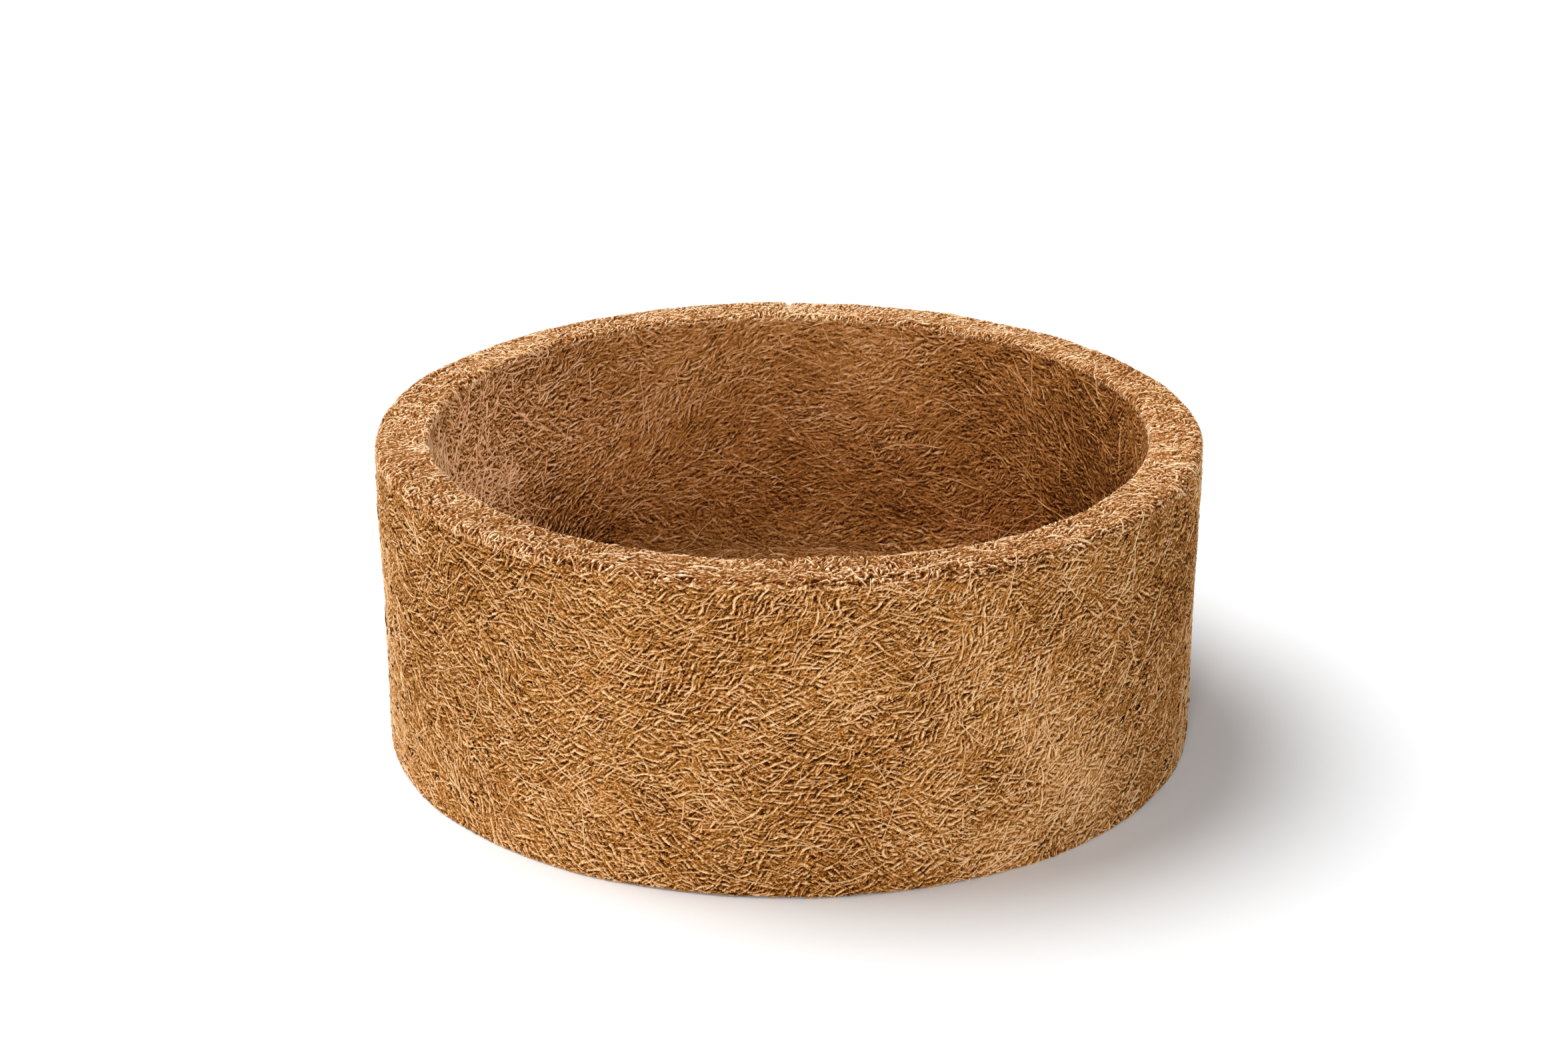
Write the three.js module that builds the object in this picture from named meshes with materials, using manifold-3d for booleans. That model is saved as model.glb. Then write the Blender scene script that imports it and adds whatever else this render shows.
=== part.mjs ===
// Coir pot: a short round pot laid up from mats of needled coconut-fibre felt, bonded with latex.
// Units are millimetres, +Z is up, and the origin is the centre of the foot.
import * as THREE from "three";
import { mergeVertices } from "three/addons/utils/BufferGeometryUtils.js";
import Module from "manifold-3d";

// Overall sizes, and how far the rim stands out beyond the foot on each side
const RIM_DIAMETER = 150;
const WALL_LEAN = 0.5;
const HEIGHT = 58;

// Thickness of each felt mat
const OUTER_PLY = 4.2;
const INNER_PLY = 4.2;
const LOWER_DISC = 4.8;
const UPPER_DISC = 4.6;

// Thickness of each latex bond
const WALL_FILM = 0.4;
const BASE_FILM = 0.4;
const EDGE_FILM = 0.4;
const SEAM_FILM = 0.4;

// Clearance on each side of a bond, and how far a bond stops short of a face that shows
const BOND_GAP = 0.1;
const BOND_INSET = 1.2;

// Rounding of the edges that show, and the most of its mat that a rounding may take
const RIM_OUTER_ROUND = 1.5;
const RIM_INNER_ROUND = 0.8;
const FOOT_ROUND = 1.2;
const MOST_ROUNDED_SHARE = 0.8;

// Fineness of the round shapes
const TURN_SEGMENTS = 72;
const ROUND_STEPS = 4;
const MERGE_DISTANCE = 1e-3;

// Directions of the two wall seams, seen from above: the outer one at the back, the inner one at the front
const OUTER_SEAM_ANGLE = Math.PI / 2;
const INNER_SEAM_ANGLE = -Math.PI / 2;

// Colours and roughness of the felt and the latex
const OUTER_FELT_COLOUR = 0xad7a4a;
const INNER_FELT_COLOUR = 0x8f5f34;
const BASE_FELT_COLOUR = 0x87592f;
const FELT_ROUGHNESS = 0.95;
const LATEX_COLOUR = 0xc9b184;
const LATEX_ROUGHNESS = 0.6;

const wasm = await Module();
wasm.setup();

// Radial place of each surface in the wall, counted inwards from the outside face
const outerPlyInside = OUTER_PLY;
const filmOutside = outerPlyInside + BOND_GAP;
const filmInside = filmOutside + WALL_FILM;
const innerPlyOutside = filmInside + BOND_GAP;
const innerPlyInside = innerPlyOutside + INNER_PLY;

// Height of each layer in the base, counted up from the foot
const baseFilmBottom = LOWER_DISC + BOND_GAP;
const baseFilmTop = baseFilmBottom + BASE_FILM;
const innerFoot = baseFilmTop + BOND_GAP;
const insideFloor = innerFoot + UPPER_DISC;

// A disc stops short of the wall round it by one edge bond and its clearances
const edgeBondRoom = BOND_GAP + EDGE_FILM + BOND_GAP;

// Radius of the wall's outside face at a height: the wall leans out a little from foot to rim.
function wallRadius(z) {
  return RIM_DIAMETER / 2 - WALL_LEAN * (1 - z / HEIGHT);
}

// A corner of a profile at a depth inside the wall's outside face, with an optional rounding.
function wallCorner(depth, z, round = 0) {
  return { point: new THREE.Vector2(wallRadius(z) - depth, z), round };
}

// A corner of a profile on the pot's axis.
function axisCorner(z) {
  return { point: new THREE.Vector2(0, z), round: 0 };
}

// A rounding, kept within its share of the mat that it is on.
function roundWithin(round, mat) {
  return Math.min(round, MOST_ROUNDED_SHARE * mat);
}

// The points of a closed outline, counter-clockwise, with each rounded corner as a true arc.
function outlineOf(corners) {
  const points = [];
  corners.forEach(({ point, round }, i) => {
    if (round === 0) {
      points.push(point);
      return;
    }
    const before = corners.at(i - 1).point.clone().sub(point).normalize();
    const after = corners[(i + 1) % corners.length].point.clone().sub(point).normalize();
    const halfAngle = Math.acos(before.dot(after)) / 2;
    const toCentre = before.clone().add(after).setLength(round / Math.sin(halfAngle));
    const centre = point.clone().add(toCentre);
    const tangent = round / Math.tan(halfAngle);
    const first = point.clone().addScaledVector(before, tangent).sub(centre);
    const turn = Math.PI - 2 * halfAngle;
    for (let step = 0; step <= ROUND_STEPS; step++) {
      const spoke = first.clone().rotateAround(new THREE.Vector2(), (turn * step) / ROUND_STEPS);
      points.push(spoke.add(centre));
    }
  });
  return points;
}

// A profile turned about the pot's axis. A ring closes on itself, and a disc starts and ends on the axis.
function turned(corners) {
  const points = outlineOf(corners);
  const isDisc = points[0].x === 0;
  const profile = isDisc ? points : [...points, points[0]];
  return new THREE.LatheGeometry(profile, TURN_SEGMENTS).rotateX(Math.PI / 2);
}

// An upright plate on the radius that points along +X, of an outline in the wall, centred on that radius.
function radialPlate(corners, thickness) {
  const shape = new THREE.Shape(outlineOf(corners));
  const plate = new THREE.ExtrudeGeometry(shape, { depth: thickness, bevelEnabled: false });
  return plate.translate(0, 0, -thickness / 2).rotateX(Math.PI / 2);
}

// A closed geometry as a solid that can be cut.
function solidOf(geometry) {
  const bare = geometry.clone();
  bare.deleteAttribute("normal");
  bare.deleteAttribute("uv");
  const merged = mergeVertices(bare, MERGE_DISTANCE);
  return new wasm.Manifold(
    new wasm.Mesh({
      numProp: 3,
      vertProperties: new Float32Array(merged.attributes.position.array),
      triVerts: new Uint32Array(merged.index.array),
    }),
  );
}

// A solid back as a geometry.
function geometryOf(solid) {
  const { vertProperties, triVerts } = solid.getMesh();
  const geometry = new THREE.BufferGeometry();
  geometry.setAttribute("position", new THREE.BufferAttribute(vertProperties, 3));
  geometry.setIndex(new THREE.BufferAttribute(triVerts, 1));
  geometry.computeVertexNormals();
  return geometry;
}

// A wall ring opened on one radius by a slit that takes the seam's bond and its clearances.
function ringWithSeam(ring, seamAngle) {
  const reach = RIM_DIAMETER;
  const slit = new THREE.BoxGeometry(reach, SEAM_FILM + 2 * BOND_GAP, 2 * HEIGHT);
  slit.translate(reach / 2, 0, HEIGHT / 2).rotateZ(seamAngle);
  return geometryOf(solidOf(ring).subtract(solidOf(slit)));
}

// Felt of one colour: dry, fibrous and without gloss.
function felt(colour) {
  return new THREE.MeshStandardMaterial({ color: colour, roughness: FELT_ROUGHNESS, metalness: 0 });
}

// Set natural latex: pale, with a faint gloss.
function latex() {
  return new THREE.MeshStandardMaterial({ color: LATEX_COLOUR, roughness: LATEX_ROUGHNESS, metalness: 0 });
}

// One named piece of the pot.
function piece(name, geometry, material) {
  const mesh = new THREE.Mesh(geometry, material);
  mesh.name = name;
  return mesh;
}

// The outer wall mat is a strip bent round until its ends butt, and it stands on the ground.
function outerWallMat() {
  const ring = turned([
    wallCorner(outerPlyInside, 0),
    wallCorner(0, 0, roundWithin(FOOT_ROUND, OUTER_PLY)),
    wallCorner(0, HEIGHT, roundWithin(RIM_OUTER_ROUND, OUTER_PLY)),
    wallCorner(outerPlyInside, HEIGHT),
  ]);
  return piece("outer_wall_mat", ringWithSeam(ring, OUTER_SEAM_ANGLE), felt(OUTER_FELT_COLOUR));
}

// The inner wall mat is a second strip inside the first, and it stands on the base bond over the lower disc.
function innerWallMat() {
  const ring = turned([
    wallCorner(innerPlyInside, innerFoot),
    wallCorner(innerPlyOutside, innerFoot),
    wallCorner(innerPlyOutside, HEIGHT),
    wallCorner(innerPlyInside, HEIGHT, roundWithin(RIM_INNER_ROUND, INNER_PLY)),
  ]);
  return piece("inner_wall_mat", ringWithSeam(ring, INNER_SEAM_ANGLE), felt(INNER_FELT_COLOUR));
}

// The latex that bonds the two wall mats, stopping short of the rim.
function wallLatexFilm() {
  const film = turned([
    wallCorner(filmInside, innerFoot),
    wallCorner(filmOutside, innerFoot),
    wallCorner(filmOutside, HEIGHT - BOND_INSET),
    wallCorner(filmInside, HEIGHT - BOND_INSET),
  ]);
  return piece("wall_latex_film", film, latex());
}

// The latex in the outer mat's butt seam, short of the faces that show.
function outerSeamLatex() {
  const corners = [
    wallCorner(outerPlyInside, BOND_INSET),
    wallCorner(BOND_INSET, BOND_INSET),
    wallCorner(BOND_INSET, HEIGHT - BOND_INSET),
    wallCorner(outerPlyInside, HEIGHT - BOND_INSET),
  ];
  const seam = piece("outer_seam_latex", radialPlate(corners, SEAM_FILM), latex());
  seam.rotation.z = OUTER_SEAM_ANGLE;
  return seam;
}

// The latex in the inner mat's butt seam, short of the faces that show.
function innerSeamLatex() {
  const seamInside = innerPlyInside - BOND_INSET;
  const corners = [
    wallCorner(seamInside, innerFoot),
    wallCorner(innerPlyOutside, innerFoot),
    wallCorner(innerPlyOutside, HEIGHT - BOND_INSET),
    wallCorner(seamInside, HEIGHT - BOND_INSET),
  ];
  const seam = piece("inner_seam_latex", radialPlate(corners, SEAM_FILM), latex());
  seam.rotation.z = INNER_SEAM_ANGLE;
  return seam;
}

// The lower disc of the base lies on the ground inside the outer mat.
function lowerBaseMat() {
  const edge = outerPlyInside + edgeBondRoom;
  const disc = turned([
    axisCorner(0),
    wallCorner(edge, 0),
    wallCorner(edge, LOWER_DISC),
    axisCorner(LOWER_DISC),
  ]);
  return piece("lower_base_mat", disc, felt(BASE_FELT_COLOUR));
}

// The latex between the two discs, which the inner wall mat stands on too.
function baseLatexFilm() {
  const edge = outerPlyInside + edgeBondRoom;
  const film = turned([
    axisCorner(baseFilmBottom),
    wallCorner(edge, baseFilmBottom),
    wallCorner(edge, baseFilmTop),
    axisCorner(baseFilmTop),
  ]);
  return piece("base_latex_film", film, latex());
}

// The upper disc of the base fills the inside of the inner mat and is the floor of the pot.
function upperBaseMat() {
  const edge = innerPlyInside + edgeBondRoom;
  const disc = turned([
    axisCorner(innerFoot),
    wallCorner(edge, innerFoot),
    wallCorner(edge, insideFloor),
    axisCorner(insideFloor),
  ]);
  return piece("upper_base_mat", disc, felt(INNER_FELT_COLOUR));
}

// The latex round a disc's edge, which bonds it to the wall mat round it.
function edgeLatex(name, wallInside, bottom, top) {
  const outside = wallInside + BOND_GAP;
  const inside = outside + EDGE_FILM;
  const ring = turned([
    wallCorner(inside, bottom),
    wallCorner(outside, bottom),
    wallCorner(outside, top),
    wallCorner(inside, top),
  ]);
  return piece(name, ring, latex());
}

const wall = new THREE.Group();
wall.add(outerWallMat(), innerWallMat(), wallLatexFilm(), outerSeamLatex(), innerSeamLatex());

const base = new THREE.Group();
base.add(lowerBaseMat(), baseLatexFilm(), upperBaseMat());
base.add(edgeLatex("lower_base_edge_latex", outerPlyInside, BOND_INSET, LOWER_DISC));
base.add(edgeLatex("upper_base_edge_latex", innerPlyInside, innerFoot, insideFloor - BOND_INSET));

const coirPot = new THREE.Group();
coirPot.add(wall, base);

export default coirPot;
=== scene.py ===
"""Coir pot: a short round pot of felted coconut fibre, dressed over its construction frame.

Lengths are metres, +Z is up and the origin is the centre of the foot.
"""
import logging
import math
from abc import ABC, abstractmethod
from collections.abc import Sequence
from dataclasses import dataclass, replace
from enum import Enum

import bpy
import numpy as np
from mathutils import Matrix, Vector


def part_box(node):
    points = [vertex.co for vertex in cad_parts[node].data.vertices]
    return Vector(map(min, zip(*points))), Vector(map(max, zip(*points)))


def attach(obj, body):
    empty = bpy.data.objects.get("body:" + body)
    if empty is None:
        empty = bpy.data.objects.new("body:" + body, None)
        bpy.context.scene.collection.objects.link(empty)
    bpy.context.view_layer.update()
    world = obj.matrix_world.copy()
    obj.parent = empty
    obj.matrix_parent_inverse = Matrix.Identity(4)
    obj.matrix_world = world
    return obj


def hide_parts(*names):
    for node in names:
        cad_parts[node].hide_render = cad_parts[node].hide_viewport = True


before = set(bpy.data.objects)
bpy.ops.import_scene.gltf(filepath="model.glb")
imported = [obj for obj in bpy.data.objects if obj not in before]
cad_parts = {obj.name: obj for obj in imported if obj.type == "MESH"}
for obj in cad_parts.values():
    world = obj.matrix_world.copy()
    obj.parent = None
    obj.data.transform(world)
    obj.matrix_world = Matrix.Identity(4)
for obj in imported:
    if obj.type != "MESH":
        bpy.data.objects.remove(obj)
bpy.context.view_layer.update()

BODY = "root"
MM = 0.001
FULL_TURN = 2 * math.pi
GROUND = 0.02 * MM
NOISE_MIDDLE = 0.5
LOG = logging.getLogger("coir_pot")

Array = np.ndarray
Colour = tuple[float, float, float]
Span = tuple[float, float]


def mm(least: float, most: float) -> Span:
    """A span of lengths given in millimetres."""
    return least * MM, most * MM


def linear(red: int, green: int, blue: int) -> Colour:
    """A colour given as screen values, as the linear light that it stands for.

    Args:
        red: Red from 0 to 255.
        green: Green from 0 to 255.
        blue: Blue from 0 to 255.

    Returns:
        The three channels in linear light, from 0 to 1.
    """
    knee, slope, offset, power = 0.04045, 12.92, 0.055, 2.4
    channels = []
    for level in (red / 255, green / 255, blue / 255):
        curved = ((level + offset) / (1 + offset)) ** power
        channels.append(level / slope if level <= knee else curved)
    return tuple(channels)


# Shader maths


class Level:
    """A number that varies over a surface: a socket whose operators add the Math nodes they need."""

    def __init__(self, graph: "Graph", socket: bpy.types.NodeSocket) -> None:
        """Wraps a socket of a graph."""
        self.graph = graph
        self.socket = socket

    def _math(self, operation: str, first: object, second: object) -> "Level":
        """A Math node on two numbers or levels."""
        return self.graph.level("ShaderNodeMath", {"operation": operation}, {0: first, 1: second})

    def __add__(self, other: object) -> "Level":
        """The sum."""
        return self._math("ADD", self, other)

    def __radd__(self, other: object) -> "Level":
        """The sum, with the level on the right."""
        return self._math("ADD", other, self)

    def __sub__(self, other: object) -> "Level":
        """The difference."""
        return self._math("SUBTRACT", self, other)

    def __rsub__(self, other: object) -> "Level":
        """The difference, with the level on the right."""
        return self._math("SUBTRACT", other, self)

    def __mul__(self, other: object) -> "Level":
        """The product."""
        return self._math("MULTIPLY", self, other)

    def __rmul__(self, other: object) -> "Level":
        """The product, with the level on the right."""
        return self._math("MULTIPLY", other, self)

    def __abs__(self) -> "Level":
        """The size without the sign."""
        return self.graph.level("ShaderNodeMath", {"operation": "ABSOLUTE"}, {0: self})


class Graph:
    """The nodes of one material or world, made one at a time."""

    def __init__(self, tree: bpy.types.NodeTree) -> None:
        """Empties a node tree and starts on it."""
        self.tree = tree
        tree.nodes.clear()

    def node(self, kind: str, settings: dict[str, object], sockets: dict[object, object]) -> bpy.types.Node:
        """Makes a node, sets it up, then fills or links its sockets.

        Args:
            kind: The node's type.
            settings: The node's own settings, with a ramp's stops under the name stops.
            sockets: Values, levels or sockets by the input's name or number.

        Returns:
            The new node.
        """
        made = self.tree.nodes.new(kind)
        for name, value in settings.items():
            if name == "stops":
                self._set_stops(made.color_ramp, value)
            else:
                setattr(made, name, value)
        for key, value in sockets.items():
            source = value.socket if isinstance(value, Level) else value
            if isinstance(source, bpy.types.NodeSocket):
                self.tree.links.new(source, made.inputs[key])
            else:
                made.inputs[key].default_value = source
        return made

    def level(self, kind: str, settings: dict[str, object], sockets: dict[object, object]) -> Level:
        """Makes a node as node() does, and returns its first output as a level."""
        return Level(self, self.node(kind, settings, sockets).outputs[0])

    def place(self) -> bpy.types.NodeSocket:
        """The place of each point of the surface on its object."""
        return self.node("ShaderNodeTexCoord", {}, {}).outputs["Object"]

    def larger(self, first: Level, second: Level) -> Level:
        """The larger of two levels."""
        return self.level("ShaderNodeMath", {"operation": "MAXIMUM"}, {0: first, 1: second})

    def ramp(self, shade: Level, stops: Sequence[tuple[float, Colour]]) -> bpy.types.NodeSocket:
        """The colour that a shade has on a ramp of stops."""
        return self.node("ShaderNodeValToRGB", {"stops": stops}, {"Fac": shade}).outputs["Color"]

    def bump(self, height: Level, strength: float, distance: float) -> bpy.types.NodeSocket:
        """The way that a surface with fine lumps faces."""
        sockets = {"Height": height, "Strength": strength, "Distance": distance}
        return self.node("ShaderNodeBump", {}, sockets).outputs["Normal"]

    def surface(self, sockets: dict[object, object]) -> None:
        """Ends a material's graph in a surface with the given values and links."""
        shader = self.node("ShaderNodeBsdfPrincipled", {}, sockets)
        self.node("ShaderNodeOutputMaterial", {}, {"Surface": shader.outputs[0]})

    @staticmethod
    def _set_stops(ramp: bpy.types.ColorRamp, stops: Sequence[tuple[float, Colour]]) -> None:
        """Gives a ramp its stops.

        Args:
            ramp: The ramp.
            stops: The place and the colour of each stop.
        """
        while len(ramp.elements) < len(stops):
            ramp.elements.new(1.0)
        for element, (place, colour) in zip(ramp.elements, stops):
            element.position = place
            element.color = (*colour, 1.0)


def new_material(name: str) -> tuple[bpy.types.Material, Graph]:
    """Starts a material.

    Args:
        name: The material's name.

    Returns:
        The material and its empty graph.
    """
    made = bpy.data.materials.new(name)
    made.use_nodes = True
    return made, Graph(made.node_tree)


# Finishes


@dataclass(frozen=True)
class FibreFinish:
    """Bare coconut fibre: each strand has its own tone, from dark husk brown to pale straw.

    The tone is stored on the strands with shade painted into it, and a fine noise varies it a little along
    each one.
    """

    name: str
    dark: Colour
    middle: Colour
    pale: Colour
    roughness: float = 0.7
    gloss: float = 0.02
    mottle: float = 0.3
    mottle_scale: float = 1600.0
    mottle_detail: float = 2.0

    def material(self) -> bpy.types.Material:
        """Makes the material of these fibres.

        Returns:
            The material.
        """
        made, graph = new_material(self.name)
        tone = Level(graph, graph.node("ShaderNodeAttribute", {"attribute_name": "tone"}, {}).outputs["Fac"])
        grain = {"Vector": graph.place(), "Scale": self.mottle_scale, "Detail": self.mottle_detail}
        noise = graph.level("ShaderNodeTexNoise", {}, grain)
        shade = tone + (noise - NOISE_MIDDLE) * (2 * self.mottle)
        colour = graph.ramp(shade, [(0.0, self.dark), (0.5, self.middle), (1.0, self.pale)])
        graph.surface({"Base Color": colour, "Roughness": self.roughness, "Specular IOR Level": self.gloss})
        return made


@dataclass(frozen=True)
class FeltFinish:
    """The body of the felt, seen between the strands: matted fibre ends with small pits between, painted dark
    as shade.
    """

    name: str
    pit_shade: Colour
    body: Colour
    fibre: Colour
    coarse_scale: float = 1100.0
    fine_scale: float = 1900.0
    fine_share: float = 0.85
    ridge_steepness: float = 7.0
    ridge_winding: float = 0.6
    patch_scale: float = 60.0
    patch_tone: float = 0.2
    pit_end: float = 0.1
    body_middle: float = 0.55
    pit_strength: float = 0.8
    pit_depth: float = 0.3 * MM
    roughness: float = 0.95
    gloss: float = 0.15

    def material(self) -> bpy.types.Material:
        """Makes the material of this felt.

        Returns:
            The material.
        """
        made, graph = new_material(self.name)
        place = graph.place()
        coarse = self._ridges(graph, place, self.coarse_scale)
        fine = self._ridges(graph, place, self.fine_scale)
        matted = graph.larger(coarse, fine * self.fine_share)
        patch = graph.level("ShaderNodeTexNoise", {}, {"Vector": place, "Scale": self.patch_scale})
        shade = matted + (patch - NOISE_MIDDLE) * self.patch_tone
        # Painted shade: dark in the pits where the ridges fall, pale on their crests
        stops = [(self.pit_end, self.pit_shade), (self.body_middle, self.body), (1.0, self.fibre)]
        graph.surface(
            {
                "Base Color": graph.ramp(shade, stops),
                "Roughness": self.roughness,
                "Specular IOR Level": self.gloss,
                "Normal": graph.bump(matted, self.pit_strength, self.pit_depth),
            }
        )
        return made

    def _ridges(self, graph: Graph, place: bpy.types.NodeSocket, scale: float) -> Level:
        """Thin winding ridges, one along their crests and falling to nought between them.

        Args:
            graph: The material's graph.
            place: The place of each point.
            scale: How closely the ridges lie.

        Returns:
            The height of the ridges.
        """
        sockets = {"Vector": place, "Scale": scale, "Detail": 1.0, "Distortion": self.ridge_winding}
        noise = graph.level("ShaderNodeTexNoise", {}, sockets)
        return 1 - abs(noise - NOISE_MIDDLE) * self.ridge_steepness


@dataclass(frozen=True)
class LatexFinish:
    """Dried natural latex: cream to amber, cloudy and faintly glossy."""

    name: str
    cream: Colour
    amber: Colour
    cloud_scale: float = 260.0
    cloud_detail: float = 4.0
    amber_end: float = 0.35
    cream_start: float = 0.65
    roughness: float = 0.5
    cloud_roughness: float = 0.2
    lump_strength: float = 0.3
    lump_depth: float = 0.1 * MM

    def material(self) -> bpy.types.Material:
        """Makes the material of this latex.

        Returns:
            The material.
        """
        made, graph = new_material(self.name)
        sockets = {"Vector": graph.place(), "Scale": self.cloud_scale, "Detail": self.cloud_detail}
        cloud = graph.level("ShaderNodeTexNoise", {}, sockets)
        stops = [(self.amber_end, self.amber), (self.cream_start, self.cream)]
        graph.surface(
            {
                "Base Color": graph.ramp(cloud, stops),
                "Roughness": self.roughness + cloud * self.cloud_roughness,
                "Normal": graph.bump(cloud, self.lump_strength, self.lump_depth),
            }
        )
        return made


OUTER_FELT = FeltFinish("outer_felt", linear(48, 24, 8), linear(124, 78, 38), linear(190, 134, 76))
INNER_FELT = FeltFinish("inner_felt", linear(66, 36, 14), linear(118, 74, 36), linear(160, 108, 60))
BASE_FELT = FeltFinish("base_felt", linear(66, 36, 14), linear(118, 74, 36), linear(170, 118, 68))
OUTER_FIBRE = FibreFinish("outer_fibre", linear(50, 20, 4), linear(184, 120, 53), linear(248, 209, 160))
RIM_FIBRE = FibreFinish("rim_fibre", linear(52, 20, 4), linear(184, 119, 60), linear(255, 230, 190))
INNER_FIBRE = FibreFinish("inner_fibre", linear(56, 24, 6), linear(187, 125, 64), linear(246, 206, 164))
INNER_LEFT_FIBRE = FibreFinish(
    "inner_left_fibre", linear(84, 36, 14), linear(208, 130, 76), linear(255, 212, 168)
)
BASE_FIBRE = FibreFinish("base_fibre", linear(96, 54, 24), linear(172, 118, 66), linear(226, 180, 124))
OUTER_SKIN = replace(OUTER_FIBRE, name="outer_skin", mottle=0.15)
RIM_SKIN = replace(RIM_FIBRE, name="rim_skin", mottle=0.15)
INNER_SKIN = replace(INNER_FIBRE, name="inner_skin", mottle=0.1)
BASE_SKIN = replace(BASE_FIBRE, name="base_skin", mottle=0.15)
LATEX = LatexFinish("latex_bond", linear(222, 206, 168), linear(186, 152, 98))


# Shapes in the pot's section


@dataclass(frozen=True)
class Corner:
    """A corner of the pot's section, with the radius that it is rounded to."""

    radius: float
    height: float
    rounding: float = 0.0


class Outline:
    """A line through the pot's section, walked at an even pace from its first corner to its last.

    The face that shows lies to the right of the walk.
    """

    ARC_STEPS = 10

    def __init__(self, corners: Sequence[Corner], pace: float) -> None:
        """Rounds the corners and lays points along the line.

        Args:
            corners: The corners in order.
            pace: The distance between points, about.
        """
        bends = self._rounded(corners)
        run = np.hypot(*np.diff(bends, axis=0).T)
        marks = np.concatenate([[0.0], np.cumsum(run)])
        count = max(2, round(marks[-1] / pace) + 1)
        self.marks = np.linspace(0.0, marks[-1], count)
        self.points = np.stack([np.interp(self.marks, marks, bends[:, k]) for k in (0, 1)], axis=1)
        forward = np.gradient(self.points, axis=0)
        forward /= np.linalg.norm(forward, axis=1, keepdims=True)
        self.facing = np.stack([forward[:, 1], -forward[:, 0]], axis=1)

    @classmethod
    def _rounded(cls, corners: Sequence[Corner]) -> Array:
        """Turns corners into points, with each rounded one as an arc.

        Args:
            corners: The corners in order.

        Returns:
            The points, one row each.
        """
        places = np.array([(corner.radius, corner.height) for corner in corners])
        line = []
        for index, corner in enumerate(corners):
            if corner.rounding == 0.0:
                line.append(places[index])
                continue
            back = places[index - 1] - places[index]
            ahead = places[index + 1] - places[index]
            back /= np.linalg.norm(back)
            ahead /= np.linalg.norm(ahead)
            half = math.acos(float(back @ ahead)) / 2
            middle = back + ahead
            centre = places[index] + middle / np.linalg.norm(middle) * corner.rounding / math.sin(half)
            reach = corner.rounding / math.tan(half)
            first = places[index] + back * reach - centre
            last = places[index] + ahead * reach - centre
            turn = math.atan2(first[0] * last[1] - first[1] * last[0], float(first @ last))
            for angle in np.linspace(0.0, turn, cls.ARC_STEPS + 1):
                swing = np.array([[math.cos(angle), -math.sin(angle)], [math.sin(angle), math.cos(angle)]])
                line.append(centre + swing @ first)
        return np.array(line)

    def mark_near(self, radius: float, height: float) -> float:
        """How far along the line its nearest point to a place lies."""
        gaps = np.hypot(self.points[:, 0] - radius, self.points[:, 1] - height)
        return float(self.marks[gaps.argmin()])

    def at(self, marks: Array) -> tuple[Array, Array]:
        """Places and facings at distances along the line.

        Args:
            marks: Distances along the line, of any shape.

        Returns:
            The places and the unit facings, each with radius and height last.
        """
        places = np.stack([np.interp(marks, self.marks, self.points[:, k]) for k in (0, 1)], axis=-1)
        facing = np.stack([np.interp(marks, self.marks, self.facing[:, k]) for k in (0, 1)], axis=-1)
        return places, facing / np.linalg.norm(facing, axis=-1, keepdims=True)


def reach_of(node: str) -> Span:
    """The least and greatest distance of a frame node's corners from the pot's axis.

    Args:
        node: The node's name.

    Returns:
        The least and the greatest distance.
    """
    corners = np.array([corner.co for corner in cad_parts[node].data.vertices])
    reaches = np.hypot(corners[:, 0], corners[:, 1])
    return float(reaches.min()), float(reaches.max())


@dataclass(frozen=True)
class PotSection:
    """Where the faces of the pot lie in its section, taken from the frame."""

    rim_radius: float
    inside_radius: float
    film_inside: float
    film_outside: float
    height: float
    floor: float
    disc_radius: float
    disc_top: float
    lean: float = 0.5 * MM
    rim_outer_round: float = 1.5 * MM
    rim_inner_round: float = 0.8 * MM
    foot_round: float = 0.5 * MM
    cove: float = 5.0 * MM
    foot_width: float = 4.2 * MM
    bond_gap: float = 0.1 * MM
    bond_lip: float = 1.0 * MM
    foot_lift: float = 0.6 * MM

    @classmethod
    def from_frame(cls) -> "PotSection":
        """Reads the sizes off the frame's nodes.

        Returns:
            The section.
        """
        film_inside, film_outside = reach_of("wall_latex_film")
        return cls(
            rim_radius=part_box("outer_wall_mat")[1].x,
            inside_radius=reach_of("inner_wall_mat")[0],
            film_inside=film_inside,
            film_outside=film_outside,
            height=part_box("outer_wall_mat")[1].z,
            floor=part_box("upper_base_mat")[1].z,
            disc_radius=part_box("lower_base_mat")[1].x,
            disc_top=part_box("lower_base_mat")[1].z,
        )

    @property
    def foot_radius(self) -> float:
        """The radius of the foot's outside."""
        return self.rim_radius - self.lean

    @property
    def bond_radius(self) -> float:
        """The radius where the two wall strips meet."""
        return (self.film_inside + self.film_outside) / 2

    @property
    def inner_foot(self) -> float:
        """The height that the inner strip and the upper disc stand at."""
        return self.disc_top + self.foot_lift

    def whole_face(self, pace: float) -> Outline:
        """Walks over all that shows of the wall: under the foot, up outside, over the rim and down inside.

        Args:
            pace: The distance between points, about.

        Returns:
            The walk.
        """
        return Outline(
            [
                Corner(self.foot_radius - self.foot_width, 0.0),
                Corner(self.foot_radius, 0.0, self.foot_round),
                Corner(self.rim_radius, self.height, self.rim_outer_round),
                Corner(self.inside_radius, self.height, self.rim_inner_round),
                Corner(self.inside_radius, self.floor, self.cove),
                Corner(self.inside_radius - 2 * self.cove, self.floor),
            ],
            pace,
        )


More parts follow.
